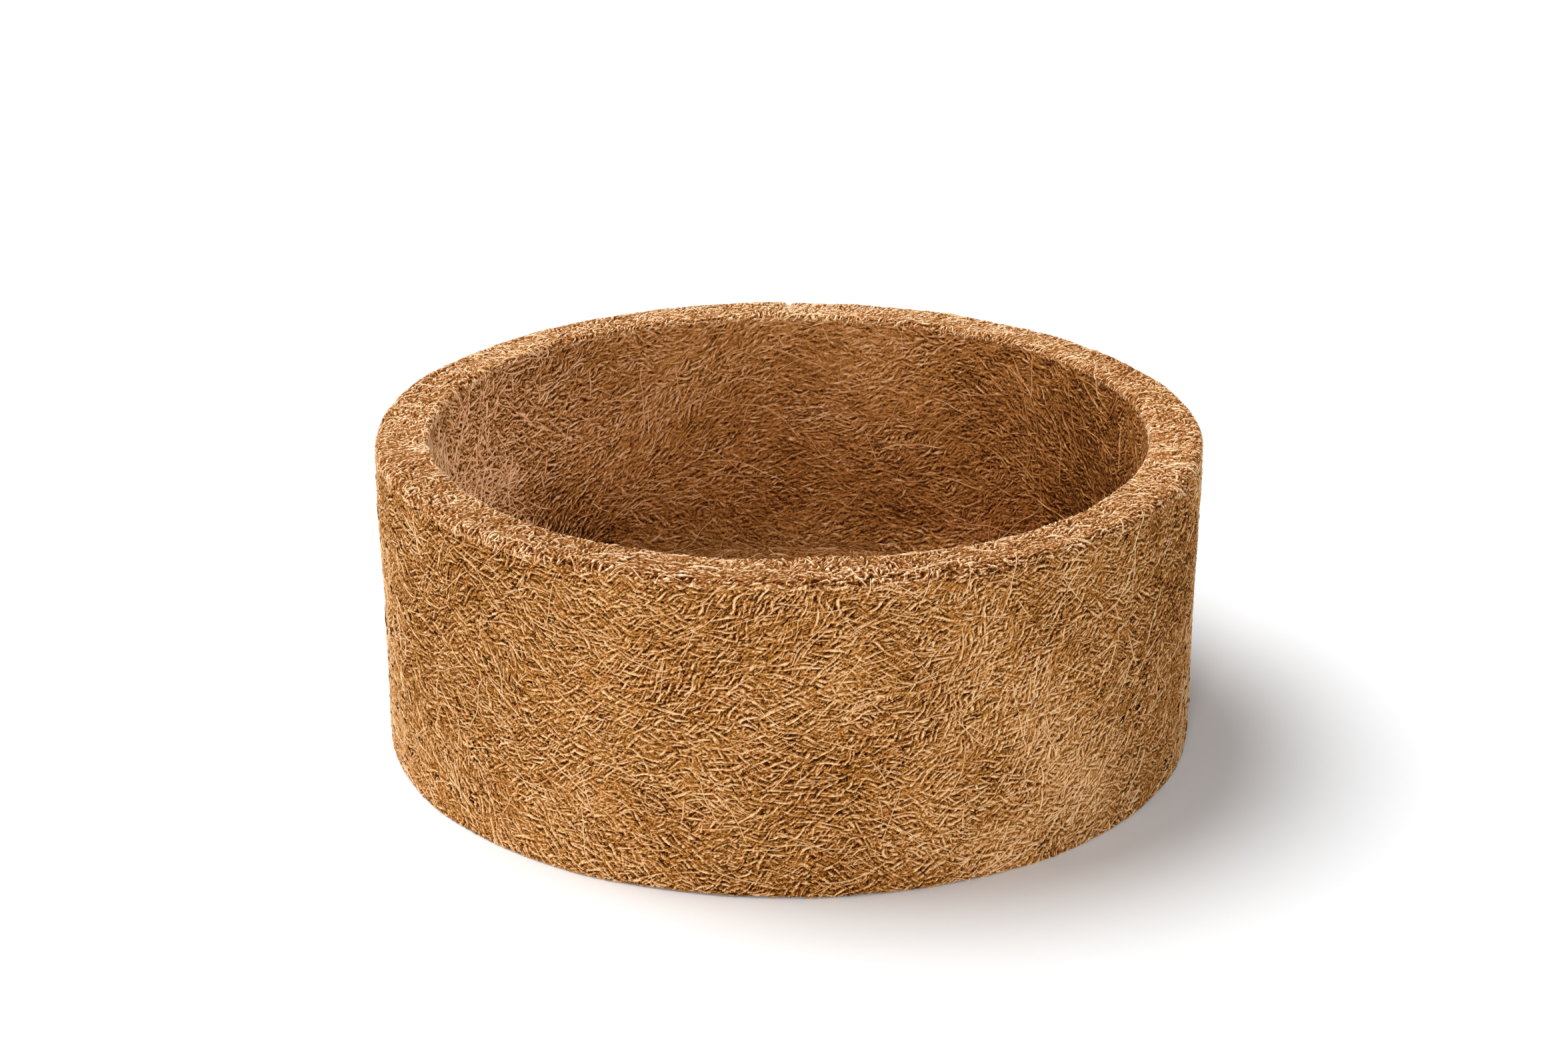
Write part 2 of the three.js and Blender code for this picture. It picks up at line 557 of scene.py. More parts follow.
class Bands:
    """Everything that shows of the wall as one walk through its section, with the marks between its bands."""

    PACE = 0.25 * MM
    CORNER_REACH = 1.4

    def __init__(self, size: PotSection) -> None:
        """Lays the walk and finds the marks.

        Args:
            size: The pot's section.
        """
        self.walk = size.whole_face(self.PACE)
        mark_near = self.walk.mark_near
        self.under_foot = mark_near(size.foot_radius - size.foot_round, 0.0)
        self.foot = mark_near(size.foot_radius, size.foot_round)
        self.shoulder = mark_near(size.rim_radius, size.height - size.rim_outer_round)
        self.lip = mark_near(size.inside_radius, size.height - size.rim_inner_round)
        self.corner = mark_near(size.inside_radius - self.CORNER_REACH * size.cove, size.floor)


# Noise that repeats


@dataclass(frozen=True)
class SmoothNoise:
    """Smooth noise in space, the same on every run: a sum of plane waves of about one wavelength."""

    wavelength: float
    seed: int
    waves: int = 20
    length_shares: Span = (0.7, 1.5)

    def at(self, places: Array) -> Array:
        """The noise at places, of about unit spread.

        Args:
            places: Points in space, with the three coordinates last.

        Returns:
            One number for each point.
        """
        rng = np.random.default_rng(self.seed)
        directions = rng.normal(size=(self.waves, 3))
        directions /= np.linalg.norm(directions, axis=1, keepdims=True)
        lengths = self.wavelength * rng.uniform(*self.length_shares, self.waves)
        phases = rng.uniform(0.0, FULL_TURN, self.waves)
        total = np.zeros(places.shape[:-1])
        for direction, length, phase in zip(directions, lengths, phases):
            total += np.cos(places @ (direction * FULL_TURN / length) + phase)
        return total * math.sqrt(2 / self.waves)


@dataclass(frozen=True)
class Seam:
    """A groove where the ends of a wall strip butt, on the radius along +Y or -Y."""

    side: float
    nearest: float
    farthest: float
    depth: float = 0.7 * MM
    half_width: float = 0.6 * MM

    def at(self, places: Array) -> Array:
        """How deep the groove is at places.

        Args:
            places: Points in space, with the three coordinates last.

        Returns:
            The depths.
        """
        radius = np.hypot(places[..., 0], places[..., 1])
        inside = (radius > self.nearest) & (radius < self.farthest) & (places[..., 1] * self.side > 0)
        return inside * self.depth * np.exp(-((places[..., 0] / self.half_width) ** 2))


@dataclass(frozen=True)
class Relief:
    """The lumps and hollows of pressed felt, and the seams of its strips."""

    broad: SmoothNoise = SmoothNoise(46 * MM, 11)
    lump: SmoothNoise = SmoothNoise(13 * MM, 12)
    pucker: SmoothNoise = SmoothNoise(4.2 * MM, 13)
    broad_height: float = 0.14 * MM
    lump_height: float = 0.06 * MM
    pucker_height: float = 0.03 * MM
    seams: Sequence[Seam] = (
        Seam(side=1.0, nearest=70.2 * MM, farthest=80 * MM),
        Seam(side=-1.0, nearest=65.5 * MM, farthest=70.2 * MM),
    )

    def at(self, places: Array) -> Array:
        """How far the felt stands out at places on its face.

        Args:
            places: Points in space, with the three coordinates last.

        Returns:
            The heights, less the grooves.
        """
        broad = self.broad_height * self.broad.at(places)
        lump = self.lump_height * self.lump.at(places)
        pucker = self.pucker_height * self.pucker.at(places)
        return broad + lump + pucker - sum(seam.at(places) for seam in self.seams)


RELIEF = Relief()


# Meshes


def mesh_of(name: str, corners: Array, loops: Array, sizes: Array, uvs: Array) -> bpy.types.Mesh:
    """A smooth mesh from flat arrays.

    Args:
        name: The mesh's name.
        corners: Points, one row each.
        loops: The point numbers of all faces, one face after another.
        sizes: How many points each face has.
        uvs: The place of each loop on the bake sheet.

    Returns:
        The mesh.
    """
    mesh = bpy.data.meshes.new(name)
    mesh.vertices.add(len(corners))
    mesh.vertices.foreach_set("co", corners.astype(np.float32).ravel())
    mesh.loops.add(len(loops))
    mesh.loops.foreach_set("vertex_index", loops.astype(np.int32))
    mesh.polygons.add(len(sizes))
    starts = np.concatenate([[0], np.cumsum(sizes)[:-1]])
    mesh.polygons.foreach_set("loop_start", starts.astype(np.int32))
    mesh.polygons.foreach_set("use_smooth", np.ones(len(sizes), dtype=bool))
    mesh.update(calc_edges=True)
    sheet = mesh.uv_layers.new(name="OFBake")
    sheet.data.foreach_set("uv", uvs.astype(np.float32).ravel())
    return mesh


def store_tones(mesh: bpy.types.Mesh, tones: Array) -> None:
    """Stores a tone on every point of a mesh, kept from nought to one."""
    layer = mesh.attributes.new("tone", "FLOAT", "POINT")
    layer.data.foreach_set("value", np.clip(tones, 0.0, 1.0).astype(np.float32).ravel())


def lift_to_ground(points: Array) -> None:
    """Lifts the points that lie under the ground on to it."""
    points[..., 2] = np.maximum(points[..., 2], GROUND)


def piece_of(mesh: bpy.types.Mesh, material: bpy.types.Material, slot: str) -> bpy.types.Object:
    """Adds a mesh to the scene as a piece of the pot.

    Args:
        mesh: The mesh, whose name the piece takes.
        material: The finish.
        slot: Not used.

    Returns:
        The new piece, riding on the pot.
    """
    piece = bpy.data.objects.new(mesh.name, mesh)
    bpy.context.scene.collection.objects.link(piece)
    mesh.materials.append(material)
    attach(piece, BODY)
    LOG.info("%s: %d faces", piece.name, len(mesh.polygons))
    return piece


@dataclass(frozen=True)
class Turning:
    """A section turned about the pot's axis: a ring if the section closes on itself, otherwise a disc.

    The section is walked in stretches, and one of them shows and has the felt's relief.
    """

    name: str
    stretches: Sequence[Outline]
    shown: int
    sunk: float = 0.25 * MM
    segments: int = 480

    def mesh(self) -> bpy.types.Mesh:
        """Turns the section into a closed mesh.

        Returns:
            The mesh.
        """
        stretches = list(enumerate(self.stretches))
        lines = [line.points[min(number, 1):] for number, line in stretches]
        section = np.concatenate(lines)
        facing = np.concatenate([line.facing[min(number, 1):] for number, line in stretches])
        shows = [np.full(len(line), number == self.shown) for number, line in enumerate(lines)]
        raised = np.concatenate(shows)
        is_ring = np.allclose(section[0], section[-1])
        if is_ring:
            section, facing, raised = section[:-1], facing[:-1], raised[:-1]
        angles = np.linspace(0.0, FULL_TURN, self.segments, endpoint=False)
        spokes = np.stack([np.cos(angles), np.sin(angles)], axis=1)
        rings = self._swept(section, spokes)
        outward = self._swept(facing, spokes)
        rings += outward * ((RELIEF.at(rings) - self.sunk) * raised[:, None])[..., None]
        lift_to_ground(rings)
        return self._skin(rings, is_ring)

    @staticmethod
    def _swept(section: Array, spokes: Array) -> Array:
        """Section points swept round: one ring of points for each."""
        level = np.broadcast_to(section[:, 1, None, None], (len(section), len(spokes), 1))
        return np.concatenate([section[:, 0, None, None] * spokes[None], level], axis=2)

    def _skin(self, rings: Array, is_ring: bool) -> bpy.types.Mesh:
        """Faces between the rings, with a fan about the axis at each end of a disc.

        Args:
            rings: The rings of points in the order of the walk.
            is_ring: Whether the last ring joins on to the first.

        Returns:
            The mesh.
        """
        count = len(rings)
        fans = 0 if is_ring else 1
        bands = count if is_ring else count - 1
        rows = bands + 2 * fans
        row, column = np.meshgrid(np.arange(bands), np.arange(self.segments), indexing="ij")
        following = (column + 1) % self.segments
        above = (row + 1) % count
        quads = np.stack(
            [
                row * self.segments + column,
                row * self.segments + following,
                above * self.segments + following,
                above * self.segments + column,
            ],
            axis=-1,
        )
        left, right = column / self.segments, (column + 1) / self.segments
        low, high = (row + fans) / rows, (row + fans + 1) / rows
        spots = np.stack([left, low, right, low, right, high, left, high], axis=-1)
        loops = [quads.ravel()]
        sizes = [np.full(quads.shape[0] * quads.shape[1], 4)]
        sheet = [spots.reshape(-1, 2)]
        corners = [rings.reshape(-1, 3)]
        if fans:
            corners.append(np.stack([rings[0].mean(axis=0), rings[-1].mean(axis=0)]))
            near, far = column[0], following[0]
            first = np.full_like(near, count * self.segments)
            base = (count - 1) * self.segments
            loops.append(np.stack([first, far, near], axis=-1).ravel())
            loops.append(np.stack([base + near, base + far, first + 1], axis=-1).ravel())
            sizes.append(np.full(2 * self.segments, 3))
            start, end = near / self.segments, (near + 1) / self.segments
            edge = np.full_like(start, 1 / rows)
            sheet.append(np.stack([start, 0 * edge, end, edge, start, edge], axis=-1).reshape(-1, 2))
            spots = np.stack([start, 1 - edge, end, 1 - edge, start, 0 * edge + 1], axis=-1)
            sheet.append(spots.reshape(-1, 2))
        return mesh_of(
            self.name,
            np.concatenate(corners),
            np.concatenate(loops),
            np.concatenate(sizes),
            np.concatenate(sheet),
        )


# Fibres


PLASTIC_NUMBER = 1.324717957244746
PLACE_STRAY = 0.3
SMALLEST_REACH = 0.001 * MM


class Grain(Enum):
    """How the fibres of a face run: round the pot, or one way across it as in a flat sheet."""

    ROUND = "round"
    SHEET = "sheet"


def even_pairs(rng: np.random.Generator, count: int) -> tuple[Array, Array]:
    """Pairs of numbers from 0 to 1 that cover the square evenly, without gaps or clumps.

    Args:
        rng: The source of chance.
        count: How many pairs.

    Returns:
        The first and the second numbers.
    """
    strides = np.array([1 / PLASTIC_NUMBER, 1 / PLASTIC_NUMBER**2])
    stray = rng.normal(0.0, PLACE_STRAY / math.sqrt(count), (count, 2))
    pairs = (np.arange(count)[:, None] * strides + rng.uniform(size=2) + stray) % 1.0
    return pairs[:, 0], pairs[:, 1]


class Face(ABC):
    """A face of the pot that fibres lie on, with two coordinates of its own."""

    @abstractmethod
    def scatter(self, rng: np.random.Generator, count: int) -> tuple[Array, Array]:
        """Picks random places on the face.

        Args:
            rng: The source of chance.
            count: How many places.

        Returns:
            The first and the second coordinates.
        """

    @abstractmethod
    def heading(self, grain: Grain, first: Array, second: Array) -> Array:
        """Finds the heading of a grain.

        Args:
            grain: How the fibres run.
            first: The first coordinates of the places.
            second: The second ones.

        Returns:
            The heading at each place.
        """

    @abstractmethod
    def walk(self, first: Array, second: Array, heading: Array, step: Array) -> tuple[Array, Array]:
        """Goes one step on from places.

        Args:
            first: The first coordinates of the places.
            second: The second ones.
            heading: Which way to go from each.
            step: How far.

        Returns:
            The coordinates reached.
        """

    @abstractmethod
    def place(self, first: Array, second: Array) -> tuple[Array, Array]:
        """Turns places on the face into points in space.

        Args:
            first: The first coordinates of the places.
            second: The second ones.

        Returns:
            The points and their outward directions.
        """


@dataclass(frozen=True)
class WallFace(Face):
    """A band of the wall, by the angle round the axis and the distance along the section's outline.

    Its methods take and return what those of any face do.
    """

    outline: Outline
    start: float
    end: float
    spill: float = 1.5 * MM
    arc: Span = (0.0, FULL_TURN)
    fade: float = 0.0

    def scatter(self, rng: np.random.Generator, count: int) -> tuple[Array, Array]:
        """Random places on the band, thinning out past the ends of its arc."""
        round_share, along_share = even_pairs(rng, count)
        angle = self.arc[0] + (self.arc[1] - self.arc[0]) * round_share + rng.normal(0.0, self.fade, count)
        return angle, self.start + (self.end - self.start) * along_share

    def heading(self, grain: Grain, first: Array, second: Array) -> Array:
        """The heading of a grain, where nought is round the pot."""
        if grain is Grain.SHEET:
            return np.arctan2(-np.cos(first), -np.sin(first))
        return np.zeros_like(first)

    def walk(self, first: Array, second: Array, heading: Array, step: Array) -> tuple[Array, Array]:
        """Places one step further on, kept on the band or just past its edges."""
        radius = self.outline.at(second)[0][..., 0]
        along = np.clip(second + np.sin(heading) * step, self.start - self.spill, self.end + self.spill)
        return first + np.cos(heading) * step / radius, along

    def place(self, first: Array, second: Array) -> tuple[Array, Array]:
        """Points in space and outward directions at places on the band."""
        section, facing = self.outline.at(second)
        spoke = np.stack([np.cos(first), np.sin(first)], axis=-1)
        points = np.concatenate([section[..., :1] * spoke, section[..., 1:]], axis=-1)
        outward = np.concatenate([facing[..., :1] * spoke, facing[..., 1:]], axis=-1)
        return points, outward


@dataclass(frozen=True)
class DiscFace(Face):
    """A flat round face, by its two level coordinates.

    Its methods take and return what those of any face do.
    """

    radius: float
    height: float
    upward: float

    def scatter(self, rng: np.random.Generator, count: int) -> tuple[Array, Array]:
        """Random places on the disc."""
        round_share, out_share = even_pairs(rng, count)
        reach = self.radius * np.sqrt(out_share)
        angle = FULL_TURN * round_share
        return reach * np.cos(angle), reach * np.sin(angle)

    def heading(self, grain: Grain, first: Array, second: Array) -> Array:
        """The heading of a grain, where nought is along +X."""
        if grain is Grain.ROUND:
            return np.arctan2(second, first) + math.pi / 2
        return np.zeros_like(first)

    def walk(self, first: Array, second: Array, heading: Array, step: Array) -> tuple[Array, Array]:
        """Places one step further on, kept on the disc."""
        first = first + np.cos(heading) * step
        second = second + np.sin(heading) * step
        kept = np.minimum(1.0, self.radius / np.maximum(np.hypot(first, second), SMALLEST_REACH))
        return first * kept, second * kept

    def place(self, first: Array, second: Array) -> tuple[Array, Array]:
        """Points in space and outward directions at places on the disc."""
        points = np.stack([first, second, np.full_like(first, self.height)], axis=-1)
        outward = np.zeros_like(points)
        outward[..., 2] = self.upward
        return points, outward


@dataclass
class Strands:
    """Fibres as centre lines: points, outward directions, half thicknesses and tones along them.

    The flank shade is painted shade: how much paler a fibre is painted along its top than at its sides.
    """

    centres: Array
    outward: Array
    radii: Array
    tones: Array
    flank_painted_shade: float

    def part(self, chosen: Array) -> "Strands":
        """Only the chosen fibres."""
        parts = [values[chosen] for values in (self.centres, self.outward, self.radii, self.tones)]
        return Strands(*parts, self.flank_painted_shade)


@dataclass(frozen=True)
class Layer:
    """One layer of fibres: how many, how long and thick, and how they lie in the felt.

    Curl is how far the curvature varies, per metre. Each fibre rises and dips by the weave, over the
    weave length.
    """

    count: int
    length: Span
    thickness: Span
    curl: float
    lift: Span
    weave: float
    weave_length: float
    spread: float
    tone: Span
    points: int = 9
    # How strongly the painted shade shows: pale crests and tops, dark dips and flanks
    contrast: float = 1.0

    @property
    def triangles(self) -> int:
        """How many triangles one fibre of this layer has."""
        return 2 * TUBE_SIDES * self.points


@dataclass(frozen=True)
class Patch:
    """A place where the fibres are lighter or darker than elsewhere, some of them painted light and shade, or
    where they are rougher.

    The flatness is the share of its reach that it has upward and downward.
    """

    centre: tuple[float, float, float]
    reach: float
    change: float
    flatness: float = 1.0

    def at(self, places: Array) -> Array:
        """The change at places, fading with distance."""
        gap = (places - np.array(self.centre)) / (self.reach * np.array([1.0, 1.0, self.flatness]))
        return self.change * np.exp(-np.square(gap).sum(axis=-1))


@dataclass(frozen=True)
class Lay:
    """How the fibres of a face lie: about the grain, swirling from place to place, in patches of tone and of
    painted shade.
    """

    grain: Grain
    swirl: float
    swirls: SmoothNoise
    mottle: SmoothNoise
    mottle_tone: float = 0.032
    lean: float = 0.0
    tone_and_shade_patches: Sequence[Patch] = ()
    rough: Sequence[Patch] = ()
    turns: Sequence[Patch] = ()
    eddy: float = 0.0
    eddies: SmoothNoise = SmoothNoise(9 * MM, 71)
    fleck: SmoothNoise = SmoothNoise(3.6 * MM, 72)
    fleck_tone: float = 0.035
    knot: SmoothNoise = SmoothNoise(5.5 * MM, 74)
    knot_tone: float = 0.2
    knot_least: float = 1.9
    tangle: SmoothNoise = SmoothNoise(7 * MM, 73)
    tangle_share: float = 0.12
    tangle_most: float = 2.0

    def heading_at(self, face: Face, first: Array, second: Array) -> Array:
        """Finds how the fibres run at places on a face: its grain, turned by swirls, eddies and fans.

        Args:
            face: The face.
            first: The first coordinates of the places.
            second: The second ones.

        Returns:
            The heading at each place.
        """
        places = face.place(first, second)[0]
        turn = self.lean + self.swirl * self.swirls.at(places) + self.eddy * self.eddies.at(places)
        fans = sum(patch.at(places) for patch in self.turns)
        return face.heading(self.grain, first, second) + turn + fans

    def tone_at(self, places: Array) -> Array:
        """Finds how much lighter the fibres are at places, painted shade and light included, with dark knots
        here and there.

        Args:
            places: Points in space, with the three coordinates last.

        Returns:
            The change of tone at each.
        """
        broad = self.mottle_tone * self.mottle.at(places) + sum(patch.at(places) for patch in self.tone_and_shade_patches)
        knots = np.clip(self.knot.at(places) - self.knot_least, 0.0, 1.0)
        return broad + self.fleck_tone * self.fleck.at(places) - self.knot_tone * knots

    def roughness_at(self, places: Array) -> Array:
        """How much stronger the matting's relief and tones are at places, where one is plain."""
        swing = np.clip(self.tangle.at(places), -self.tangle_most, self.tangle_most)
        return 1.0 + self.tangle_share * swing + sum(patch.at(places) for patch in self.rough)


OUTER_LAY = Lay(
    Grain.ROUND, 0.25, SmoothNoise(30 * MM, 21), SmoothNoise(20 * MM, 22), lean=0.15, eddy=0.14,
    # Darker high on the left and low in front, and paler low left of the front; painted shade darkens the
    # right, and painted light brightens low right of the front
    tone_and_shade_patches=[
        Patch((0.071, -0.028, 0.034), 22 * MM, -0.32),
        Patch((0.045, -0.058, 0.01), 22 * MM, 0.15),
        Patch((-0.068, -0.032, 0.04), 24 * MM, -0.13),
        Patch((-0.035, -0.066, 0.01), 20 * MM, 0.06),
        Patch((-0.052, -0.054, 0.05), 16 * MM, -0.07),
        Patch((0.002, -0.075, 0.002), 22 * MM, -0.1),
        # Painted shadow: a thin dark line under the rim's edge
        Patch((0.036, -0.066, 0.0564), 15 * MM, -0.5, flatness=0.03),
    ],
    # Fans of fibres low on the left and on the right, and bends under the rim and above the foot
    turns=[
        Patch((-0.062, -0.042, 0.016), 22 * MM, -0.85),
        Patch((0.057, -0.048, 0.02), 20 * MM, 0.6),
        Patch((0.006, -0.0748, 0.052), 14 * MM, 0.25),
        Patch((-0.032, -0.068, 0.006), 12 * MM, -0.35),
    ],
)
RIM_LAY = Lay(
    Grain.SHEET, 0.3, SmoothNoise(26 * MM, 31), SmoothNoise(16 * MM, 32), lean=0.65,
    # Paler at the back
    tone_and_shade_patches=[Patch((0.0, 0.07, 0.058), 44 * MM, 0.14)],
)
INNER_LAY = Lay(
    Grain.ROUND, 0.3, SmoothNoise(30 * MM, 41), SmoothNoise(22 * MM, 42), lean=0.28, knot_tone=0.12,
    # Darker on the left and a little paler left of the back; painted shade darkens the right, right of the
    # back, low at the back and low left of the back, towards the corner with the floor
    tone_and_shade_patches=[
        Patch((-0.062, 0.016, 0.04), 34 * MM, -0.2),
        Patch((0.06, 0.026, 0.034), 34 * MM, -0.32),
        Patch((0.0, 0.062, 0.006), 26 * MM, -0.21),
        Patch((-0.043, 0.05, 0.012), 16 * MM, -0.3),
        Patch((-0.035, 0.056, 0.036), 20 * MM, 0.05),
        Patch((0.035, 0.056, 0.036), 20 * MM, -0.06),
    ],
    # Rougher on the left
    rough=[Patch((-0.062, 0.016, 0.03), 34 * MM, 2.2)],
    # Fans of fibres right of the back and on the left
    turns=[Patch((0.05, 0.044, 0.042), 22 * MM, -0.5), Patch((-0.064, 0.016, 0.04), 18 * MM, -0.2)],
)
FLOOR_LAY = Lay(Grain.SHEET, 0.9, SmoothNoise(32 * MM, 51), SmoothNoise(22 * MM, 52))
SOLE_LAY = Lay(Grain.SHEET, 0.9, SmoothNoise(32 * MM, 61), SmoothNoise(22 * MM, 62))
INNER_LEFT_LAY = Lay(Grain.ROUND, 0.5, SmoothNoise(30 * MM, 81), SmoothNoise(22 * MM, 82), lean=-0.5)

# How single fibres curl, taper and weave, and the shade painted on them

TUBE_SIDES = 3
CURL_MEMORY = 0.75
STEER_LENGTH = 6 * MM
THINNEST_END = 0.6
END_SINK = 0.4 * MM
CREST_PAINTED_SHADE = 0.44
CREST_HEIGHT = 0.3 * MM
FLANK_PAINTED_SHADE = 0.4
END_SHARPNESS = 8
TAPER_SHARPNESS = 3
WEAVE_SHARES = (0.7, 1.3)
WEAVE_MAIN = 0.7
WEAVE_SIDE = 0.5
WEAVE_PITCH = 1.7


def grown(layer: Layer, face: Face, lay: Lay, rng: np.random.Generator) -> Strands:
    """Lays one layer of fibres on a face.

    Args:
        layer: The layer.
        face: The face.
        lay: Which way the fibres run.
        rng: The source of chance.

    Returns:
        The fibres.
    """
    first, second = face.scatter(rng, layer.count)
    start = face.place(first, second)[0]
    stray = rng.normal(0.0, layer.spread, layer.count) + math.pi * rng.integers(0, 2, layer.count)
    heading = lay.heading_at(face, first, second) + stray
    length = rng.uniform(*layer.length, layer.count)
    step = length / (layer.points - 1)
    bend = rng.normal(0.0, layer.curl, layer.count)
    track = [(first, second)]
    for _ in range(layer.points - 1):
        fresh = rng.normal(0.0, layer.curl, layer.count)
        bend = CURL_MEMORY * bend + math.sqrt(1 - CURL_MEMORY**2) * fresh
        drift = (lay.heading_at(face, first, second) + stray - heading + math.pi) % FULL_TURN - math.pi
        heading = heading + bend * step + drift * np.minimum(step / STEER_LENGTH, 1.0)
        first, second = face.walk(first, second, heading, step)
        track.append((first, second))
    firsts = np.stack([place[0] for place in track], axis=1)
    seconds = np.stack([place[1] for place in track], axis=1)
    points, outward = face.place(firsts, seconds)
    along = np.linspace(-1.0, 1.0, layer.points)[None]
    middle = 1 - along**END_SHARPNESS
    crest = rng.uniform(*layer.lift, layer.count)[:, None]
    phase = rng.uniform(0.0, FULL_TURN, layer.count)[:, None]
    waves = (length / layer.weave_length * rng.uniform(*WEAVE_SHARES, layer.count))[:, None]
    swing = math.pi * waves * along + phase
    weave = WEAVE_MAIN * np.sin(swing) + WEAVE_SIDE * np.sin(WEAVE_PITCH * swing + 2 * phase)
    lift = (crest + layer.weave * weave) * middle - END_SINK * (1 - middle)
    points = points + outward * (RELIEF.at(points) + lift)[..., None]
    body = np.clip(1 - np.abs(along) ** TAPER_SHARPNESS, 0.0, 1.0)
    taper = THINNEST_END + (1 - THINNEST_END) * np.sqrt(body)
    radii = rng.uniform(*layer.thickness, layer.count)[:, None] / 2 * taper
    tones = rng.normal(layer.tone[0], layer.tone[1], layer.count) + lay.tone_at(start)
    # Painted shade: paler where a fibre rises, darker where it dips under the others
    shade = layer.contrast * CREST_PAINTED_SHADE * np.clip(lift / CREST_HEIGHT, -1.0, 1.0)
    return Strands(points, outward, radii, tones[:, None] + shade, layer.contrast * FLANK_PAINTED_SHADE)


def tubes(name: str, strands: Strands) -> bpy.types.Mesh:
    """Closed tubes along fibres, with their tones stored on them and shade painted in: pale on top, dark at
    the flanks.

    Args:
        name: The mesh's name.
        strands: The fibres.

    Returns:
        The mesh.
    """
    count, points, _ = strands.centres.shape
    ahead = np.gradient(strands.centres, axis=1)
    ahead /= np.linalg.norm(ahead, axis=2, keepdims=True)
    across = np.cross(ahead, strands.outward)
    across /= np.linalg.norm(across, axis=2, keepdims=True)
    over = np.cross(across, ahead)
    turns = math.pi / 2 + FULL_TURN * np.arange(TUBE_SIDES) / TUBE_SIDES
    rim = np.cos(turns)[:, None] * across[:, :, None] + np.sin(turns)[:, None] * over[:, :, None]
    rings = strands.centres[:, :, None] + strands.radii[:, :, None, None] * rim
    ends = np.stack(
        [
            strands.centres[:, 0] - ahead[:, 0] * strands.radii[:, :1],
            strands.centres[:, -1] + ahead[:, -1] * strands.radii[:, -1:],
        ],
        axis=1,
    )
    corners = np.concatenate([rings.reshape(count, points * TUBE_SIDES, 3), ends], axis=1)
    lift_to_ground(corners)
    loops, sizes, spots = tube_faces(points, TUBE_SIDES)
    own = points * TUBE_SIDES + 2
    all_loops = (loops[None] + own * np.arange(count)[:, None]).ravel()
    sheet = bake_sheet(spots, strands.tones.mean(axis=1))
    mesh = mesh_of(name, corners.reshape(-1, 3), all_loops, np.tile(sizes, count), sheet)
    # Painted shade: each ring paler at its top and darker at its flanks
    around = strands.tones[:, :, None] + strands.flank_painted_shade * np.sin(turns)
    around = around.reshape(count, points * TUBE_SIDES)
    tones = np.concatenate([around, strands.tones[:, :1], strands.tones[:, -1:]], axis=1)
    store_tones(mesh, tones)
    return mesh


def tube_faces(points: int, sides: int) -> tuple[Array, Array, Array]:
    """The faces of one tube, with a fan of triangles at each end.

    Args:
        points: How many rings the tube has.
        sides: How many corners each ring has.

    Returns:
        The corner numbers of all faces, how many each face has, and each loop's place on a unit square.
    """
    loops, sizes, spots = [], [], []
    last = points * sides
    for side in range(sides):
        after = (side + 1) % sides
        left, right = side / sides, (side + 1) / sides
        loops += [side, after, last]
        spots += [(left, 1 / points), (right, 1 / points), (left, 0.0)]
        sizes.append(3)
        for ring in range(points - 1):
            near, far = ring * sides, (ring + 1) * sides
            low, high = (ring + 1) / points, (ring + 2) / points
            loops += [near + side, far + side, far + after, near + after]
            spots += [(left, low), (left, high), (right, high), (right, low)]
            sizes.append(4)
        top = (points - 1) * sides
        loops += [top + after, top + side, last + 1]
        spots += [(right, 1.0), (left, 1.0), (left, 1.0)]
        sizes.append(3)
    return np.array(loops), np.array(sizes), np.array(spots)


def bake_sheet(spots: Array, tones: Array) -> Array:
    """Gives each tube its own cell of the bake sheet, with tubes of like tone side by side.

    Args:
        spots: Each loop's place on a unit square, for one tube.
        tones: The tubes' tones.

    Returns:
        The place of every loop of every tube.
    """
    margin = 0.15
    cells = math.ceil(math.sqrt(len(tones)))
    rank = np.empty(len(tones), dtype=int)
    rank[np.argsort(tones, kind="stable")] = np.arange(len(tones))
    corner = np.stack([rank % cells, rank // cells], axis=1)
    inside = margin + (1 - 2 * margin) * spots
    return ((corner[:, None] + inside[None]) / cells).reshape(-1, 2)


@dataclass(frozen=True)
class FibreBed:
    """The fibres on one face, in several layers, split into pieces round the pot."""

    MOST_TRIANGLES = 190_000

    name: str
    face: Face
    lay: Lay
    layers: Sequence[Layer]
    finish: FibreFinish
    slot: str
    seed: int

    def build(self) -> None:
        """Lays the fibres as pieces of the pot."""
        rng = np.random.default_rng(self.seed)
        material = self.finish.material()
        for number, layer in enumerate(self.layers, start=1):
            strands = grown(layer, self.face, self.lay, rng)
            middle = strands.centres[:, layer.points // 2]
            order = np.argsort(np.arctan2(middle[:, 1], middle[:, 0]), kind="stable")
            pieces = math.ceil(layer.count * layer.triangles / self.MOST_TRIANGLES)
            for part, chosen in enumerate(np.array_split(order, pieces), start=1):
                mesh = tubes(f"{self.name}_{number}_{part}", strands.part(chosen))
                piece_of(mesh, material, self.slot)


# Felt skins


